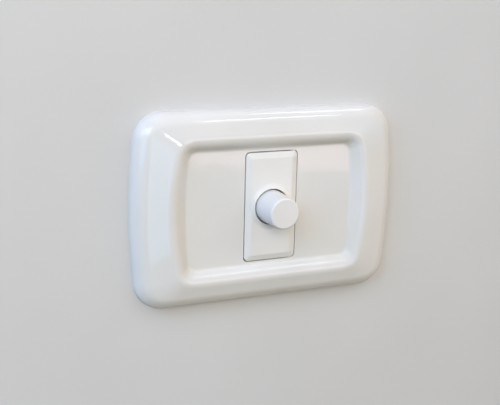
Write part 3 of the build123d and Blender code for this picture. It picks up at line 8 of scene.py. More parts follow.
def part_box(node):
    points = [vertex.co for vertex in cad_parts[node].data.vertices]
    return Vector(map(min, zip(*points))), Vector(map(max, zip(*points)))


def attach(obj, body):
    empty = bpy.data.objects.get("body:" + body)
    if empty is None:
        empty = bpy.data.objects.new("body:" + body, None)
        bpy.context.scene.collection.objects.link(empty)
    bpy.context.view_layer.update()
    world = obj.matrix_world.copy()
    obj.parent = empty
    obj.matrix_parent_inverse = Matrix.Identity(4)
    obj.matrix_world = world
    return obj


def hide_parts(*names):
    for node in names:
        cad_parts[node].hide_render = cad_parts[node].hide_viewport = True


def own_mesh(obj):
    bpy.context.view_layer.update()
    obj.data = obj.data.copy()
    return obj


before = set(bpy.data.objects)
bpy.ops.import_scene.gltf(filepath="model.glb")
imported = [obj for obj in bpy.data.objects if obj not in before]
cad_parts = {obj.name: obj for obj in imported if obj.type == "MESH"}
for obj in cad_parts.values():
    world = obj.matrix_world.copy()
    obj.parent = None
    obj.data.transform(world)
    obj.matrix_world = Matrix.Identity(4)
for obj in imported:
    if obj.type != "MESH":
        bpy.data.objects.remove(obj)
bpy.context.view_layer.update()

bl_info = {
    "name": "Wall dimmer",
    "version": (1, 0, 0),
    "blender": (4, 5, 0),
    "location": "3D View > Sidebar > Wall dimmer",
    "description": "Gives a wall dimmer its surfaces and small details, and sets its wall, light and camera",
    "category": "Object",
}

MM = 0.001
FIXED_BODY = "wall_unit"


def corners(node):
    """Lowest and highest corner of a piece at rest, as vectors in metres."""
    low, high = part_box(node)
    return Vector(low), Vector(high)


# Surface noise stays mostly between these two values, and colour and sheen spread over them.
NOISE_LOW, NOISE_HIGH = 0.3, 0.7
# How many finer layers the slow drift of colour has, and the grain.
DRIFT_DETAIL, GRAIN_DETAIL = 2.0, 3.0
# Folds sharper than this stay crisp on the pieces that are made here.
CRISP_FOLD = radians(32)

# Box screws. The head bears on the mounting frame at SCREW_SEAT, and the thread starts at the wall.
SCREW_SEAT = -2.2 * MM
SCREW_SIDES = 48
SCREW_STEPS_PER_TURN = 8
# Radius of the thread's crest as a share of the head's radius.
CREST_SHARE = 0.53
# The head from its flat crown to its rim: share of the head's radius, depth below the crown.
HEAD_CURVE = (
    (0.66, 0.0),
    (0.8, 0.12 * MM),
    (0.92, 0.36 * MM),
    (0.985, 0.72 * MM),
    (1.0, 1.1 * MM),
)
# The broken edge under the head: the share of the radius that is left, and its height.
HEAD_EDGE_SHARE = 0.96
HEAD_EDGE_HEIGHT = 0.1 * MM
# Half the width of an arm of the cross, and how far the arm reaches, at its top and its floor.
CROSS_TOP = (0.55 * MM, 2.1 * MM)
CROSS_FLOOR = (0.38 * MM, 0.9 * MM)
# The tip of the thread: its length, and its root's radius at the end as a share of the full one.
TIP_LENGTH = 1.0 * MM
TIP_SHARE = 0.4
# How steeply the thread's flanks fall: from its crest to its root within 1 / 2.4 of the pitch.
FLANK_SLOPE = 2.4

# How finely the round spring wire is drawn.
SPRING_STEPS_PER_TURN = 40
WIRE_SIDES = 12

# How much light the glass of the fuse lets through.
GLASS_CLARITY = 0.95

# The plate lies flush on the wall. Metres that the wall reaches each way, then the width, height
# and corner radius of the opening in it for the wall box, which the plate covers.
WALL_Y = corners("cover_plate")[1].y
WALL_REACH = 1.2
BOX_HOLE = (0.108, 0.075, 0.013)
HOLE_CORNER_STEPS = 8
# The paint where the roller laid less of it, as a share of the wall's colour.
WALL_SHADE = 0.97
# Beyond the wall the camera sees this.
BACKDROP = "#D2D2D1"

# Light that the room gives from each side: the axis, its sign, a colour and a strength.
ROOM_SIDES = (
    ("X", 1, "#FFCB6A", 0.42),
    ("Y", 1, "#FFFFFF", 0.5),
    ("Z", -1, "#FFE890", 0.08),
)
# Windows, lamps and pale walls of the room. Each has the angle it stands to the right of straight
# ahead, the angle above level, a width and height in metres, a glow and a colour. The last value
# says whether the gloss mirrors it. The others only light the object, as broad soft light does.
WINDOW_DISTANCE = 1.3
WINDOWS = (
    ("Blue window, far left", -75, 30, 0.58, 0.52, 5.4, "#A8C0FF", True),
    ("Window, left", -45, 30, 0.58, 0.52, 4.9, "#D0E6FF", True),
    ("Window, top left", -45, 52, 0.42, 0.52, 3.8, "#FFF3F8", False),
    ("Pale wall, left", -60, 5, 0.9, 0.5, 1.7, "#94DFFF", True),
    ("Window ahead", 4, 6.5, 0.1, 0.1, 12.0, "#F5FFF5", True),
    ("Window ahead, lower part", -8, -9, 0.26, 0.56, 1.8, "#92D5FF", True),
    ("Warm wall ahead", -15, 20, 0.58, 0.52, 7.6, "#FFF0D6", False),
    ("Skylight", 15, 52, 0.42, 0.52, 2.6, "#FFFAF6", False),
    ("Lamp above, right", 84, 62, 0.12, 0.22, 6.0, "#FFFFFF", True),
    ("Lamp ahead, right", 36, 46, 0.26, 0.09, 8.0, "#FFFFFF", True),
    ("Ceiling, right", 60, 30, 0.9, 0.52, 2.5, "#D8ECFF", False),
    ("Pale wall, right", 45, 5, 0.67, 0.52, 0.9, "#5EC5FF", True),
    ("Low window ahead", 26, -1, 0.5, 0.46, 2.2, "#FFDEE4", True),
    ("Rear fill", 162, 25, 0.9, 0.9, 2.0, "#FFFFFF", True),
)


def linear(hex_code):
    """An sRGB hex colour as the linear values that Blender computes with."""
    channels = []
    for start in (1, 3, 5):
        value = int(hex_code[start:start + 2], 16) / 255
        channels.append(value / 12.92 if value <= 0.04045 else ((value + 0.055) / 1.055) ** 2.4)
    return (*channels, 1.0)


def add_node(tree, kind, inputs=None, **settings):
    """Adds a node with its settings. Each input is a value, or the socket that feeds it."""
    node = tree.nodes.new(kind)
    for name, value in settings.items():
        setattr(node, name, value)
    for name, value in (inputs or {}).items():
        if isinstance(value, bpy.types.NodeSocket):
            tree.links.new(value, node.inputs[name])
        else:
            node.inputs[name].default_value = value
    return node


def finish(name, pale, deep, mottle_mm, grain_mm, relief_mm, rough, ior=1.5, metal=False, lay=(1, 1, 1)):
    """A material whose colour drifts from deep to pale over mottle_mm. Its grain, grain_mm across
    and relief_mm high, also varies the roughness. A small value in lay draws both out along that
    axis. Real grain under about a quarter of a millimetre is too fine to show, and is drawn at
    about that size."""
    material = bpy.data.materials.new(name)
    material.use_nodes = True
    tree = material.node_tree
    tree.nodes.clear()
    place = add_node(tree, "ShaderNodeTexCoord").outputs["Object"]
    place = add_node(tree, "ShaderNodeMapping", {"Vector": place, "Scale": lay}).outputs["Vector"]
    mottle = add_node(
        tree,
        "ShaderNodeTexNoise",
        {"Vector": place, "Scale": 1 / (mottle_mm * MM), "Detail": DRIFT_DETAIL},
    )
    drift = add_node(tree, "ShaderNodeValToRGB", {"Fac": mottle.outputs["Fac"]})
    drift.color_ramp.elements[0].position = NOISE_LOW
    drift.color_ramp.elements[0].color = deep
    drift.color_ramp.elements[1].position = NOISE_HIGH
    drift.color_ramp.elements[1].color = pale
    grain = add_node(
        tree,
        "ShaderNodeTexNoise",
        {"Vector": place, "Scale": 1 / (grain_mm * MM), "Detail": GRAIN_DETAIL},
    ).outputs["Fac"]
    smoothest, roughest = rough
    sheen = add_node(
        tree,
        "ShaderNodeMapRange",
        {
            "Value": grain,
            "From Min": NOISE_LOW,
            "From Max": NOISE_HIGH,
            "To Min": smoothest,
            "To Max": roughest,
        },
    )
    relief = add_node(tree, "ShaderNodeBump", {"Height": grain, "Distance": relief_mm * MM})
    shader = add_node(
        tree,
        "ShaderNodeBsdfPrincipled",
        {
            "Base Color": drift.outputs["Color"],
            "Roughness": sheen.outputs["Result"],
            "Normal": relief.outputs["Normal"],
        },
    )
    if metal:
        shader.inputs["Metallic"].default_value = 1.0
    else:
        shader.inputs["IOR"].default_value = ior
    add_node(tree, "ShaderNodeOutputMaterial", {"Surface": shader.outputs["BSDF"]})
    return material


def dress(material, *nodes):
    """Puts a material on the slots of CAD pieces."""
    for name in nodes:
        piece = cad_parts[name]
        for slot in piece.material_slots:
            slot.material = material
        if not piece.material_slots:
            piece.data.materials.append(material)


def replace_piece(node, name, mesh, material):
    """A piece made here, on the wall unit, that stands for a CAD piece."""
    piece = bpy.data.objects.new(name, mesh)
    bpy.context.scene.collection.objects.link(piece)
    mesh.materials.append(material)
    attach(piece, FIXED_BODY)
    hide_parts(node)
    return piece


def ring(build, centre, radius, y, count):
    """Corner points of a circle that faces along Y."""
    points = []
    for step in range(count):
        angle = 2 * pi * step / count
        spot = (centre.x + radius * sin(angle), y, centre.z + radius * cos(angle))
        points.append(build.verts.new(spot))
    return points


def skin(build, first, second):
    """Side faces between two rings with the same number of points."""
    for step in range(len(first)):
        after = (step + 1) % len(first)
        build.faces.new((first[step], first[after], second[after], second[step]))


def edges_of(build, loop):
    """The edges round a loop of points, made where they are missing."""
    edges = []
    for step in range(len(loop)):
        pair = (loop[step], loop[(step + 1) % len(loop)])
        edges.append(build.edges.get(pair) or build.edges.new(pair))
    return edges


def mesh_from(build, name):
    """A smooth mesh with its faces turned outwards and its sharp folds kept crisp."""
    bmesh.ops.recalc_face_normals(build, faces=build.faces)
    for face in build.faces:
        face.smooth = True
    for edge in build.edges:
        edge.smooth = len(edge.link_faces) == 2 and edge.calc_face_angle(0.0) < CRISP_FOLD
    mesh = bpy.data.meshes.new(name)
    build.to_mesh(mesh)
    build.free()
    return mesh


def colour_choice(name, description, hex_code):
    """A colour that can be picked in the panel."""
    return bpy.props.FloatVectorProperty(
        name=name,
        description=description,
        default=linear(hex_code),
        size=4,
        min=0.0,
        max=1.0,
        subtype="COLOR",
    )


class PlateSettings(bpy.types.PropertyGroup):
    pale: colour_choice("Plate colour", "Colour of the glossy plastic of the cover plate", "#E0E0DE")
    deep: colour_choice("Plate shade", "Colour where the plastic flowed last into the mould", "#DBDBD8")
    sink: bpy.props.FloatProperty(
        name="Sink depth",
        description="How far the walls of the plate sink in and wave as they cool",
        default=0.05 * MM,
        min=0.0,
        unit="LENGTH",
    )


class ModuleSettings(bpy.types.PropertyGroup):
    face: colour_choice("Face colour", "Colour of the satin face of the module", "#E6E6E3")
    face_shade: colour_choice("Face shade", "Deepest colour that the face drifts to", "#E1E1DE")
    knob: colour_choice("Knob colour", "Colour of the satin knob", "#E4E4E2")
    knob_shade: colour_choice("Knob shade", "Deepest colour that the knob drifts to", "#DFDFDD")


class ScrewSettings(bpy.types.PropertyGroup):
    pitch: bpy.props.FloatProperty(
        name="Thread pitch",
        description="Distance from one turn of the M3.5 thread to the next",
        default=0.6 * MM,
        min=0.2 * MM,
        unit="LENGTH",
    )
    thread_depth: bpy.props.FloatProperty(
        name="Thread depth",
        description="From the crest of the thread to its root",
        default=0.33 * MM,
        min=0.0,
        unit="LENGTH",
    )
    recess_depth: bpy.props.FloatProperty(
        name="Recess depth",
        description="Depth of the cross in the head",
        default=1.1 * MM,
        min=0.0,
        unit="LENGTH",
    )


class SpringSettings(bpy.types.PropertyGroup):
    turns: bpy.props.FloatProperty(
        name="Spring turns",
        description="Turns of wire from one end of the return spring to the other",
        default=3.5,
        min=1.0,
    )
    wire_radius: bpy.props.FloatProperty(
        name="Spring wire radius",
        description="Half the thickness of the spring wire",
        default=0.19 * MM,
        min=0.05 * MM,
        unit="LENGTH",
    )


class StageSettings(bpy.types.PropertyGroup):
    wall: colour_choice("Wall colour", "Colour of the painted wall", "#D2D2D1")
    turn: bpy.props.FloatProperty(
        name="Camera turn",
        description="How far the camera stands to the left of straight on",
        default=radians(24.307),
        subtype="ANGLE",
    )
    rise: bpy.props.FloatProperty(
        name="Camera rise",
        description="How far the camera stands above the plate's level",
        default=radians(13.957),
        subtype="ANGLE",
    )
    roll: bpy.props.FloatProperty(
        name="Camera roll",
        description="How far the camera leans about the line it looks along",
        default=radians(1.401),
        subtype="ANGLE",
    )
    distance: bpy.props.FloatProperty(
        name="Camera distance",
        description="From the camera to the point it aims at",
        default=384.2 * MM,
        unit="LENGTH",
    )
    aim: bpy.props.FloatVectorProperty(
        name="Camera aim",
        description="Point at the middle of the picture",
        default=(-6.46 * MM, 0.0, 0.55 * MM),
        subtype="XYZ",
        unit="LENGTH",
    )
    lens: bpy.props.FloatProperty(
        name="Camera lens",
        description="Focal length in millimetres, for a picture 36 mm wide",
        default=67.375,
        min=1.0,
    )


class DIMMER_OT_cover_plate(bpy.types.Operator):
    """Finishes the cover plate in polished ABS"""

    bl_idname = "dimmer.cover_plate"
    bl_label = "Cover plate"

    def execute(self, context):
        plate = context.scene.dimmer_plate
        # ABS moulded in a polished tool: a clear gloss over an even white. Its walls sink a little
        # as they cool, so what it mirrors wavers over a centimetre or so.
        material = finish(
            "Polished ABS",
            tuple(plate.pale),
            tuple(plate.deep),
            mottle_mm=30,
            grain_mm=12,
            relief_mm=plate.sink / MM,
            rough=(0.035, 0.065),
            ior=1.54,
        )
        dress(material, "cover_plate")
        return {"FINISHED"}


class DIMMER_OT_module_front(bpy.types.Operator):
    """Finishes the module's face and the knob in satin ABS"""

    bl_idname = "dimmer.module_front"
    bl_label = "Module face and knob"

    def execute(self, context):
        module = context.scene.dimmer_module
        # ABS moulded in a finely blasted tool: a soft sheen instead of mirror images. The real
        # grain is near 0.05 mm and is drawn at 0.3 mm, the finest that the picture shows.
        face = finish(
            "Satin ABS of the face",
            tuple(module.face),
            tuple(module.face_shade),
            mottle_mm=14,
            grain_mm=0.3,
            relief_mm=0.004,
            rough=(0.28, 0.36),
            ior=1.54,
        )
        dress(face, "module_front")
        # The same plastic and grain from the knob's own tool: a slightly duller sheen.
        knob = finish(
            "Satin ABS of the knob",
            tuple(module.knob),
            tuple(module.knob_shade),
            mottle_mm=9,
            grain_mm=0.3,
            relief_mm=0.004,
            rough=(0.3, 0.4),
            ior=1.54,
        )
        dress(knob, "dimmer_knob")
        return {"FINISHED"}


class DIMMER_OT_frame_and_housing(bpy.types.Operator):
    """Finishes the mounting frame and the module's rear case"""

    bl_idname = "dimmer.frame_and_housing"
    bl_label = "Frame and housing"

    def execute(self, context):
        # Glass-filled polyamide, moulded: short fibres lie at its skin, so it is dry and mottled.
        frame_finish = finish(
            "Glass-filled polyamide",
            linear("#9A9C9E"),
            linear("#888A8D"),
            mottle_mm=5,
            grain_mm=0.7,
            relief_mm=0.03,
            rough=(0.45, 0.62),
            ior=1.53,
        )
        dress(frame_finish, "mounting_frame")
        # Polycarbonate blend, moulded in a spark-eroded tool: an even, dull off-white.
        case_finish = finish(
            "Eroded polycarbonate",
            linear("#DAD9D2"),
            linear("#D0CFC7"),
            mottle_mm=10,
            grain_mm=0.5,
            relief_mm=0.02,
            rough=(0.42, 0.55),
            ior=1.58,
        )
        dress(case_finish, "module_housing")
        return {"FINISHED"}


class DIMMER_OT_hardware(bpy.types.Operator):
    """Finishes the steel, aluminium, brass and bronze pieces"""

    bl_idname = "dimmer.hardware"
    bl_label = "Metal pieces"

    def execute(self, context):
        # Steel, stamped or turned, then zinc plated and passivated clear: a cool grey metal with
        # faint clouds.
        zinc = finish(
            "Zinc plated steel",
            linear("#C3C7CC"),
            linear("#ACB1B7"),
            mottle_mm=2.5,
            grain_mm=0.4,
            relief_mm=0.004,
            rough=(0.24, 0.4),
            metal=True,
        )
        dress(zinc, "control_bushing", "lock_washer", "control_nut", "control_case", "triac_screw")
        dress(zinc, "fuse_wire", "fuse_cap_lower", "fuse_cap_upper")
        dress(zinc, "terminal_screw_1", "terminal_screw_2", "terminal_screw_3")
        # Aluminium, rolled or drawn: fine lines along Z stretch its reflections across them.
        aluminium = finish(
            "Mill finish aluminium",
            linear("#CDCFD2"),
            linear("#B9BBBF"),
            mottle_mm=6,
            grain_mm=0.5,
            relief_mm=0.004,
            rough=(0.26, 0.42),
            metal=True,
            lay=(1, 1, 0.06),
        )
        dress(aluminium, "heat_sink", "control_shaft")
        # Brass, milled from bar: warm and bright, with fine cutter lines along X.
        brass = finish(
            "Milled brass",
            linear("#D9B56A"),
            linear("#C39E55"),
            mottle_mm=4,
            grain_mm=0.3,
            relief_mm=0.004,
            rough=(0.2, 0.36),
            metal=True,
            lay=(0.08, 1, 1),
        )
        dress(brass, "terminal_block_1", "terminal_block_2", "terminal_block_3")
        # Phosphor bronze strip, rolled and stamped: redder than brass, slightly dull, with fine
        # lines along Z.
        bronze = finish(
            "Rolled phosphor bronze",
            linear("#C79A6B"),
            linear("#AD8055"),
            mottle_mm=2,
            grain_mm=0.3,
            relief_mm=0.003,
            rough=(0.26, 0.42),
            metal=True,
            lay=(1, 1, 0.1),
        )
        dress(bronze, "track_pin_1", "track_pin_2", "track_pin_3", "wiper_contact")
        dress(bronze, "contact_bridge", "switch_pin_left", "switch_pin_right")
        dress(bronze, "fuse_clip_lower", "fuse_clip_upper")
        return {"FINISHED"}


class DIMMER_OT_box_screws(bpy.types.Operator):
    """Cuts the threads and the crosses of the two screws that hold the frame to the wall box"""

    bl_idname = "dimmer.box_screws"
    bl_label = "Box screws"

    def execute(self, context):
        screw = context.scene.dimmer_screw
        # Steel wire, cold headed and thread rolled, then zinc plated: bright crests, darker roots.
        bright = finish(
            "Bright zinc on rolled thread",
            linear("#CFD3D8"),
            linear("#B3B8BE"),
            mottle_mm=1.5,
            grain_mm=0.3,
            relief_mm=0.003,
            rough=(0.18, 0.32),
            metal=True,
        )
        for name in ("box_screw_left", "box_screw_right"):
            mesh = self.make_screw(screw, *corners(name))
            replace_piece(name, "threaded_" + name, mesh, bright)
        return {"FINISHED"}

    def make_screw(self, screw, low, high):
        """Pan head with a tapered cross, a plain neck and a rolled thread with a blunt tip."""
        centre = (low + high) / 2
        head = (high.x - low.x) / 2
        crest = CREST_SHARE * head
        crown = low.y
        outline = [(share * head, crown + depth) for share, depth in HEAD_CURVE]
        outline += [
            (head, SCREW_SEAT - HEAD_EDGE_HEIGHT),
            (HEAD_EDGE_SHARE * head, SCREW_SEAT),
            (crest - screw.thread_depth, SCREW_SEAT),
        ]
        build = bmesh.new()
        rings = [ring(build, centre, radius, y, SCREW_SIDES) for radius, y in outline]
        for first, second in zip(rings, rings[1:]):
            skin(build, first, second)
        self.cut_cross(screw, build, centre, rings[0], crown)
        end = self.roll_thread(screw, build, centre, crest, rings[-1], high.y)
        build.faces.new(end)
        return mesh_from(build, "box_screw")

    def cut_cross(self, screw, build, centre, rim, crown):
        """The cross narrows as it goes down, as the punch leaves it."""
        loops = []
        for arm, y in ((CROSS_TOP, crown), (CROSS_FLOOR, crown + screw.recess_depth)):
            width, length = arm
            corner = ((width, length), (width, width), (length, width))
            loop = []
            for turn in range(4):
                quarter = radians(90 * turn)
                for across, up in corner:
                    x = across * cos(quarter) + up * sin(quarter)
                    z = up * cos(quarter) - across * sin(quarter)
                    loop.append(build.verts.new((centre.x + x, y, centre.z + z)))
            loops.append(loop)
        skin(build, loops[0], loops[1])
        build.faces.new(loops[1])
        edges = edges_of(build, rim) + edges_of(build, loops[0])
        filled = bmesh.ops.triangle_fill(build, edges=edges, use_beauty=True)
        if not filled["geom"]:
            raise RuntimeError("the crown round the cross didn't fill")

    def roll_thread(self, screw, build, centre, crest, neck, tip_y):
        """Rings down the shank, each pushed out where the thread's crest winds past it."""
        root = crest - screw.thread_depth
        count = round(tip_y / screw.pitch * SCREW_STEPS_PER_TURN)
        before = neck
        for step in range(count + 1):
            y = tip_y * step / count
            taper = min(1.0, (tip_y - y) / TIP_LENGTH)
            core = root * (TIP_SHARE + (1 - TIP_SHARE) * taper)
            run_out = min(1.0, y / screw.pitch, (tip_y - y) / TIP_LENGTH)
            middle = Vector((centre.x, y, centre.z))
            now = ring(build, centre, root, y, len(neck))
            for index, point in enumerate(now):
                turn = (y / screw.pitch - index / len(neck)) % 1.0
                rise = max(0.0, 1.0 - abs(turn - 0.5) * FLANK_SLOPE) * run_out
                radius = core + screw.thread_depth * rise
                point.co = middle + (point.co - middle).normalized() * radius
            skin(build, before, now)
            before = now
        return before


class DIMMER_OT_return_spring(bpy.types.Operator):
    """Winds the spring that pushes the knob back out"""

    bl_idname = "dimmer.return_spring"
    bl_label = "Return spring"

    def execute(self, context):
        # Hard drawn spring steel, zinc plated after winding: a tight bright line along the wire.
        wire = finish(
            "Zinc plated spring wire",
            linear("#CBCFD3"),
            linear("#AFB4BA"),
            mottle_mm=1.0,
            grain_mm=0.3,
            relief_mm=0.002,
            rough=(0.2, 0.32),
            metal=True,
        )
        low, high = corners("return_spring")
        mesh = self.wind(context.scene.dimmer_spring, low, high)
        spring = replace_piece("return_spring", "wound_return_spring", mesh, wire)
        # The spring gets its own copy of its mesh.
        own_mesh(spring)
        return {"FINISHED"}

    def wind(self, settings, low, high):
        """A coil of round wire about the Y axis, with cut ends."""
        wire = settings.wire_radius
        radius = (high.x - low.x) / 2 - wire
        first, last = low.y + wire, high.y - wire
        climb = (last - first) / (2 * pi * settings.turns * radius)
        steps = round(settings.turns * SPRING_STEPS_PER_TURN)
        build = bmesh.new()
        before = None
        for step in range(steps + 1):
            angle = 2 * pi * settings.turns * step / steps
            out = Vector((cos(angle), 0, sin(angle)))
            along = Vector((-sin(angle), climb, cos(angle)))
            beside = along.normalized().cross(out)
            middle = out * radius + Vector((0, first + (last - first) * step / steps, 0))
            now = []
            for side in range(WIRE_SIDES):
                turn = 2 * pi * side / WIRE_SIDES
                now.append(build.verts.new(middle + (out * cos(turn) + beside * sin(turn)) * wire))
            if before:
                skin(build, before, now)
            else:
                build.faces.new(now)
            before = now
        build.faces.new(before)
        return mesh_from(build, "return_spring")


class DIMMER_OT_electronics(bpy.types.Operator):
    """Finishes the circuit board and the parts that it carries"""

    bl_idname = "dimmer.electronics"
    bl_label = "Electronics"

    def execute(self, context):
        # Nylon moulded without pigment: milky and warm, with a waxy sheen.
        nylon = finish(
            "Natural nylon",
            linear("#E6E3D6"),
            linear("#DAD6C6"),
            mottle_mm=4,
            grain_mm=0.6,
            relief_mm=0.01,
            rough=(0.4, 0.55),
            ior=1.53,
        )
        dress(nylon, "wiper_rotor", "switch_plunger")
        # Paper soaked in phenolic resin and pressed: brown, blotched by the paper, nearly dull.
        wafer = finish(
            "Phenolic laminate",
            linear("#7A5232"),
            linear("#5E3C22"),
            mottle_mm=2,
            grain_mm=0.5,
            relief_mm=0.01,
            rough=(0.4, 0.6),
            ior=1.6,
        )
        dress(wafer, "resistance_track")
        # Epoxy filled with silica, moulded: off-black, dull and gritty.
        compound = finish(
            "Moulding compound",
            linear("#2B2B2D"),
            linear("#1E1E20"),
            mottle_mm=3,
            grain_mm=0.25,
            relief_mm=0.01,
            rough=(0.5, 0.7),
            ior=1.55,
        )
        dress(compound, "switch_case", "triac")
        # Ferrite powder, pressed and sintered: charcoal grit with a faint ceramic sheen.
        ferrite = finish(
            "Sintered ferrite",
            linear("#3D3C3E"),
            linear("#2C2B2D"),
            mottle_mm=1.5,
            grain_mm=0.3,
            relief_mm=0.02,
            rough=(0.4, 0.65),
            ior=1.8,
        )
        dress(ferrite, "choke_core")
        # Copper wire, drawn and dipped in clear enamel: an orange metal that looks wet.
        copper = finish(
            "Enamelled copper",
            linear("#C06A35"),
            linear("#9C4E22"),
            mottle_mm=1.2,
            grain_mm=0.3,
            relief_mm=0.003,
            rough=(0.15, 0.28),
            metal=True,
        )
        dress(copper, "choke_winding")
        # Polyester box, moulded and filled with epoxy: an even yellow with a dull skin.
        box = finish(
            "Epoxy filled case",
            linear("#D8B347"),
            linear("#C9A236"),
            mottle_mm=5,
            grain_mm=0.4,
            relief_mm=0.01,
            rough=(0.35, 0.5),
            ior=1.55,
        )
        dress(box, "suppression_capacitor", "timing_capacitor")
        # Lacquer, rolled on and baked: beige with a soft, slightly wavy shine.
        lacquer = finish(
            "Baked lacquer",
            linear("#D6BE92"),
            linear("#C8AE80"),
            mottle_mm=1.5,
            grain_mm=0.5,
            relief_mm=0.01,
            rough=(0.2, 0.35),
            ior=1.5,
        )
        dress(lacquer, "resistor_1", "resistor_2")
        # Glass fired round the chip of the diac: blue and shiny.
        diode = finish(
            "Blue fired glass",
            linear("#4E74B8"),
            linear("#3A5C9E"),
            mottle_mm=1.5,
            grain_mm=0.5,
            relief_mm=0.005,
            rough=(0.1, 0.2),
            ior=1.52,
        )
        dress(diode, "diac")
        # Glass tube, drawn and cut: clear, with a slight ripple that bends what is behind it.
        glass = finish(
            "Clear glass",
            linear("#EAF4F4"),
            linear("#DDECEC"),
            mottle_mm=4,
            grain_mm=1.0,
            relief_mm=0.003,
            rough=(0.02, 0.06),
            ior=1.5,
        )
        glass_shader = glass.node_tree.nodes["Principled BSDF"]
        glass_shader.inputs["Transmission Weight"].default_value = GLASS_CLARITY
        dress(glass, "fuse_tube")
        # Glass-epoxy board, screen printed with solder mask: green with an uneven satin shine.
        board = finish(
            "Solder mask on glass epoxy",
            linear("#2E7A49"),
            linear("#22653A"),
            mottle_mm=3,
            grain_mm=0.4,
            relief_mm=0.01,
            rough=(0.3, 0.45),
            ior=1.55,
        )
        dress(board, "circuit_board")
        return {"FINISHED"}


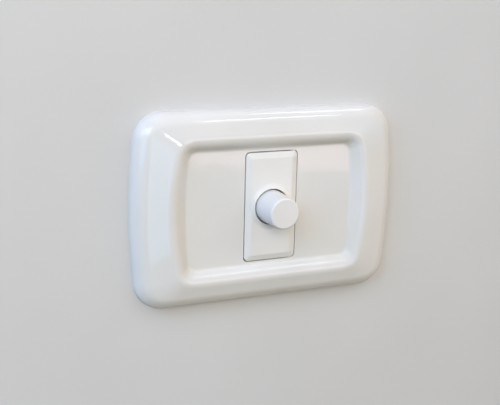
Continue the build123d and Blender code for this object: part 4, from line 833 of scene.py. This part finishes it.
class DIMMER_OT_stage(bpy.types.Operator):
    """Sets the painted wall, the daylight and the camera"""

    bl_idname = "dimmer.stage"
    bl_label = "Wall, light and camera"

    def execute(self, context):
        stage = context.scene.dimmer_stage
        self.make_wall(stage)
        self.make_room_light(context.scene)
        self.make_windows(context.scene)
        self.make_camera(context.scene, stage)
        context.scene.view_settings.view_transform = "Standard"
        return {"FINISHED"}

    def make_wall(self, stage):
        """A wall with the opening for the wall box. It shows from the room side only."""
        mesh = bpy.data.meshes.new("wall")
        width, height, radius = BOX_HOLE
        quarters = ((-1, -1), (1, -1), (1, 1), (-1, 1))
        points = [(x * WALL_REACH, WALL_Y, z * WALL_REACH) for x, z in quarters]
        faces = []
        for quarter, (x, z) in enumerate(quarters):
            first = len(points)
            for step in range(HOLE_CORNER_STEPS + 1):
                angle = radians(180 + 90 * (quarter + step / HOLE_CORNER_STEPS))
                across = x * (width / 2 - radius) + radius * cos(angle)
                up = z * (height / 2 - radius) + radius * sin(angle)
                points.append((across, WALL_Y, up))
                if step:
                    faces.append((quarter, first + step, first + step - 1))
            following = (quarter + 1) % len(quarters)
            next_first = len(quarters) + following * (HOLE_CORNER_STEPS + 1)
            faces.append((quarter, following, next_first, first + HOLE_CORNER_STEPS))
        mesh.from_pydata(points, [], faces)
        wall = bpy.data.objects.new("wall", mesh)
        bpy.context.scene.collection.objects.link(wall)
        shade = [WALL_SHADE * channel for channel in stage.wall[:3]] + [1.0]
        # Emulsion rolled on plaster: dull, with a faint stipple.
        material = finish(
            "Rolled emulsion",
            tuple(stage.wall),
            tuple(shade),
            mottle_mm=60,
            grain_mm=1.5,
            relief_mm=0.02,
            rough=(0.6, 0.75),
            ior=1.45,
        )
        tree = material.node_tree
        from_behind = add_node(tree, "ShaderNodeNewGeometry").outputs["Backfacing"]
        paint = tree.nodes["Principled BSDF"].outputs["BSDF"]
        clear = add_node(tree, "ShaderNodeBsdfTransparent").outputs["BSDF"]
        sides = add_node(tree, "ShaderNodeMixShader", {0: from_behind, 1: paint, 2: clear})
        tree.links.new(sides.outputs["Shader"], tree.nodes["Material Output"].inputs["Surface"])
        mesh.materials.append(material)

    def make_room_light(self, scene):
        """Soft light from each side of the room. The camera sees a plain backdrop instead."""
        world = bpy.data.worlds.new("Room")
        world.use_nodes = True
        tree = world.node_tree
        tree.nodes.clear()
        way = add_node(tree, "ShaderNodeTexCoord").outputs["Generated"]
        parts = add_node(tree, "ShaderNodeSeparateXYZ", {"Vector": way})
        room = None
        for axis, sign, colour, strength in ROOM_SIDES:
            toward = add_node(
                tree, "ShaderNodeMath", {0: parts.outputs[axis], 1: sign * strength}, operation="MULTIPLY"
            )
            facing = add_node(
                tree, "ShaderNodeMath", {0: toward.outputs["Value"], 1: 0.0}, operation="MAXIMUM"
            )
            side = add_node(
                tree,
                "ShaderNodeBackground",
                {"Color": linear(colour), "Strength": facing.outputs["Value"]},
            ).outputs["Background"]
            if room is None:
                room = side
            else:
                room = add_node(tree, "ShaderNodeAddShader", {0: room, 1: side}).outputs["Shader"]
        seen = add_node(tree, "ShaderNodeBackground", {"Color": linear(BACKDROP), "Strength": 1.0})
        path = add_node(tree, "ShaderNodeLightPath")
        mix = add_node(
            tree,
            "ShaderNodeMixShader",
            {0: path.outputs["Is Camera Ray"], 1: room, 2: seen.outputs["Background"]},
        )
        add_node(tree, "ShaderNodeOutputWorld", {"Surface": mix.outputs["Shader"]})
        scene.world = world

    def make_windows(self, scene):
        """Flat lamps round the object, all facing it. Their energy gives the glow at any size."""
        for name, turn, rise, width, height, glow, colour, mirrored in WINDOWS:
            light = bpy.data.lights.new(name, "AREA")
            light.shape = "RECTANGLE"
            light.size = width
            light.size_y = height
            light.energy = glow * pi * width * height
            light.color = linear(colour)[:3]
            lamp = bpy.data.objects.new(name, light)
            lamp.visible_glossy = mirrored
            level = cos(radians(rise))
            way = Vector(
                (sin(radians(turn)) * level, -cos(radians(turn)) * level, sin(radians(rise)))
            )
            lamp.location = WINDOW_DISTANCE * way
            lamp.rotation_euler = (-way).to_track_quat("-Z", "Y").to_euler()
            scene.collection.objects.link(lamp)

    def make_camera(self, scene, stage):
        """The camera looks along -away, leaning by the roll."""
        camera = bpy.data.objects.new("Camera", bpy.data.cameras.new("Camera"))
        away = Vector(
            (-sin(stage.turn) * cos(stage.rise), -cos(stage.turn) * cos(stage.rise), sin(stage.rise))
        )
        level_right = Vector((cos(stage.turn), -sin(stage.turn), 0.0))
        level_up = away.cross(level_right)
        right = level_right * cos(stage.roll) + level_up * sin(stage.roll)
        up = level_up * cos(stage.roll) - level_right * sin(stage.roll)
        spot = Vector(stage.aim) + away * stage.distance
        camera.matrix_world = Matrix.Translation(spot) @ Matrix((right, up, away)).transposed().to_4x4()
        camera.data.sensor_width = 36.0
        camera.data.lens = stage.lens
        camera.data.clip_start = 10 * MM
        scene.collection.objects.link(camera)
        scene.camera = camera


class DIMMER_PT_panel(bpy.types.Panel):
    """Lists the settings, and the pieces in the order they are finished"""

    bl_idname = "DIMMER_PT_panel"
    bl_label = "Wall dimmer"
    bl_space_type = "VIEW_3D"
    bl_region_type = "UI"
    bl_category = "Wall dimmer"

    def draw(self, context):
        for group in SETTINGS:
            settings = getattr(context.scene, group)
            for name in settings.bl_rna.properties.keys():
                if name not in ("rna_type", "name"):
                    self.layout.prop(settings, name)
        for operator in OPERATORS:
            self.layout.operator(operator.bl_idname)


SETTINGS = {
    "dimmer_plate": PlateSettings,
    "dimmer_module": ModuleSettings,
    "dimmer_screw": ScrewSettings,
    "dimmer_spring": SpringSettings,
    "dimmer_stage": StageSettings,
}
OPERATORS = (
    DIMMER_OT_cover_plate,
    DIMMER_OT_module_front,
    DIMMER_OT_frame_and_housing,
    DIMMER_OT_hardware,
    DIMMER_OT_box_screws,
    DIMMER_OT_return_spring,
    DIMMER_OT_electronics,
    DIMMER_OT_stage,
)
CLASSES = (*SETTINGS.values(), *OPERATORS, DIMMER_PT_panel)


def register():
    for cls in CLASSES:
        bpy.utils.register_class(cls)
    for group, settings in SETTINGS.items():
        setattr(bpy.types.Scene, group, bpy.props.PointerProperty(type=settings))


def unregister():
    for group in SETTINGS:
        delattr(bpy.types.Scene, group)
    for cls in reversed(CLASSES):
        bpy.utils.unregister_class(cls)


def main():
    register()
    bpy.ops.dimmer.cover_plate()
    bpy.ops.dimmer.module_front()
    bpy.ops.dimmer.frame_and_housing()
    bpy.ops.dimmer.hardware()
    bpy.ops.dimmer.box_screws()
    bpy.ops.dimmer.return_spring()
    bpy.ops.dimmer.electronics()
    bpy.ops.dimmer.stage()


if __name__ == "__main__":
    main()
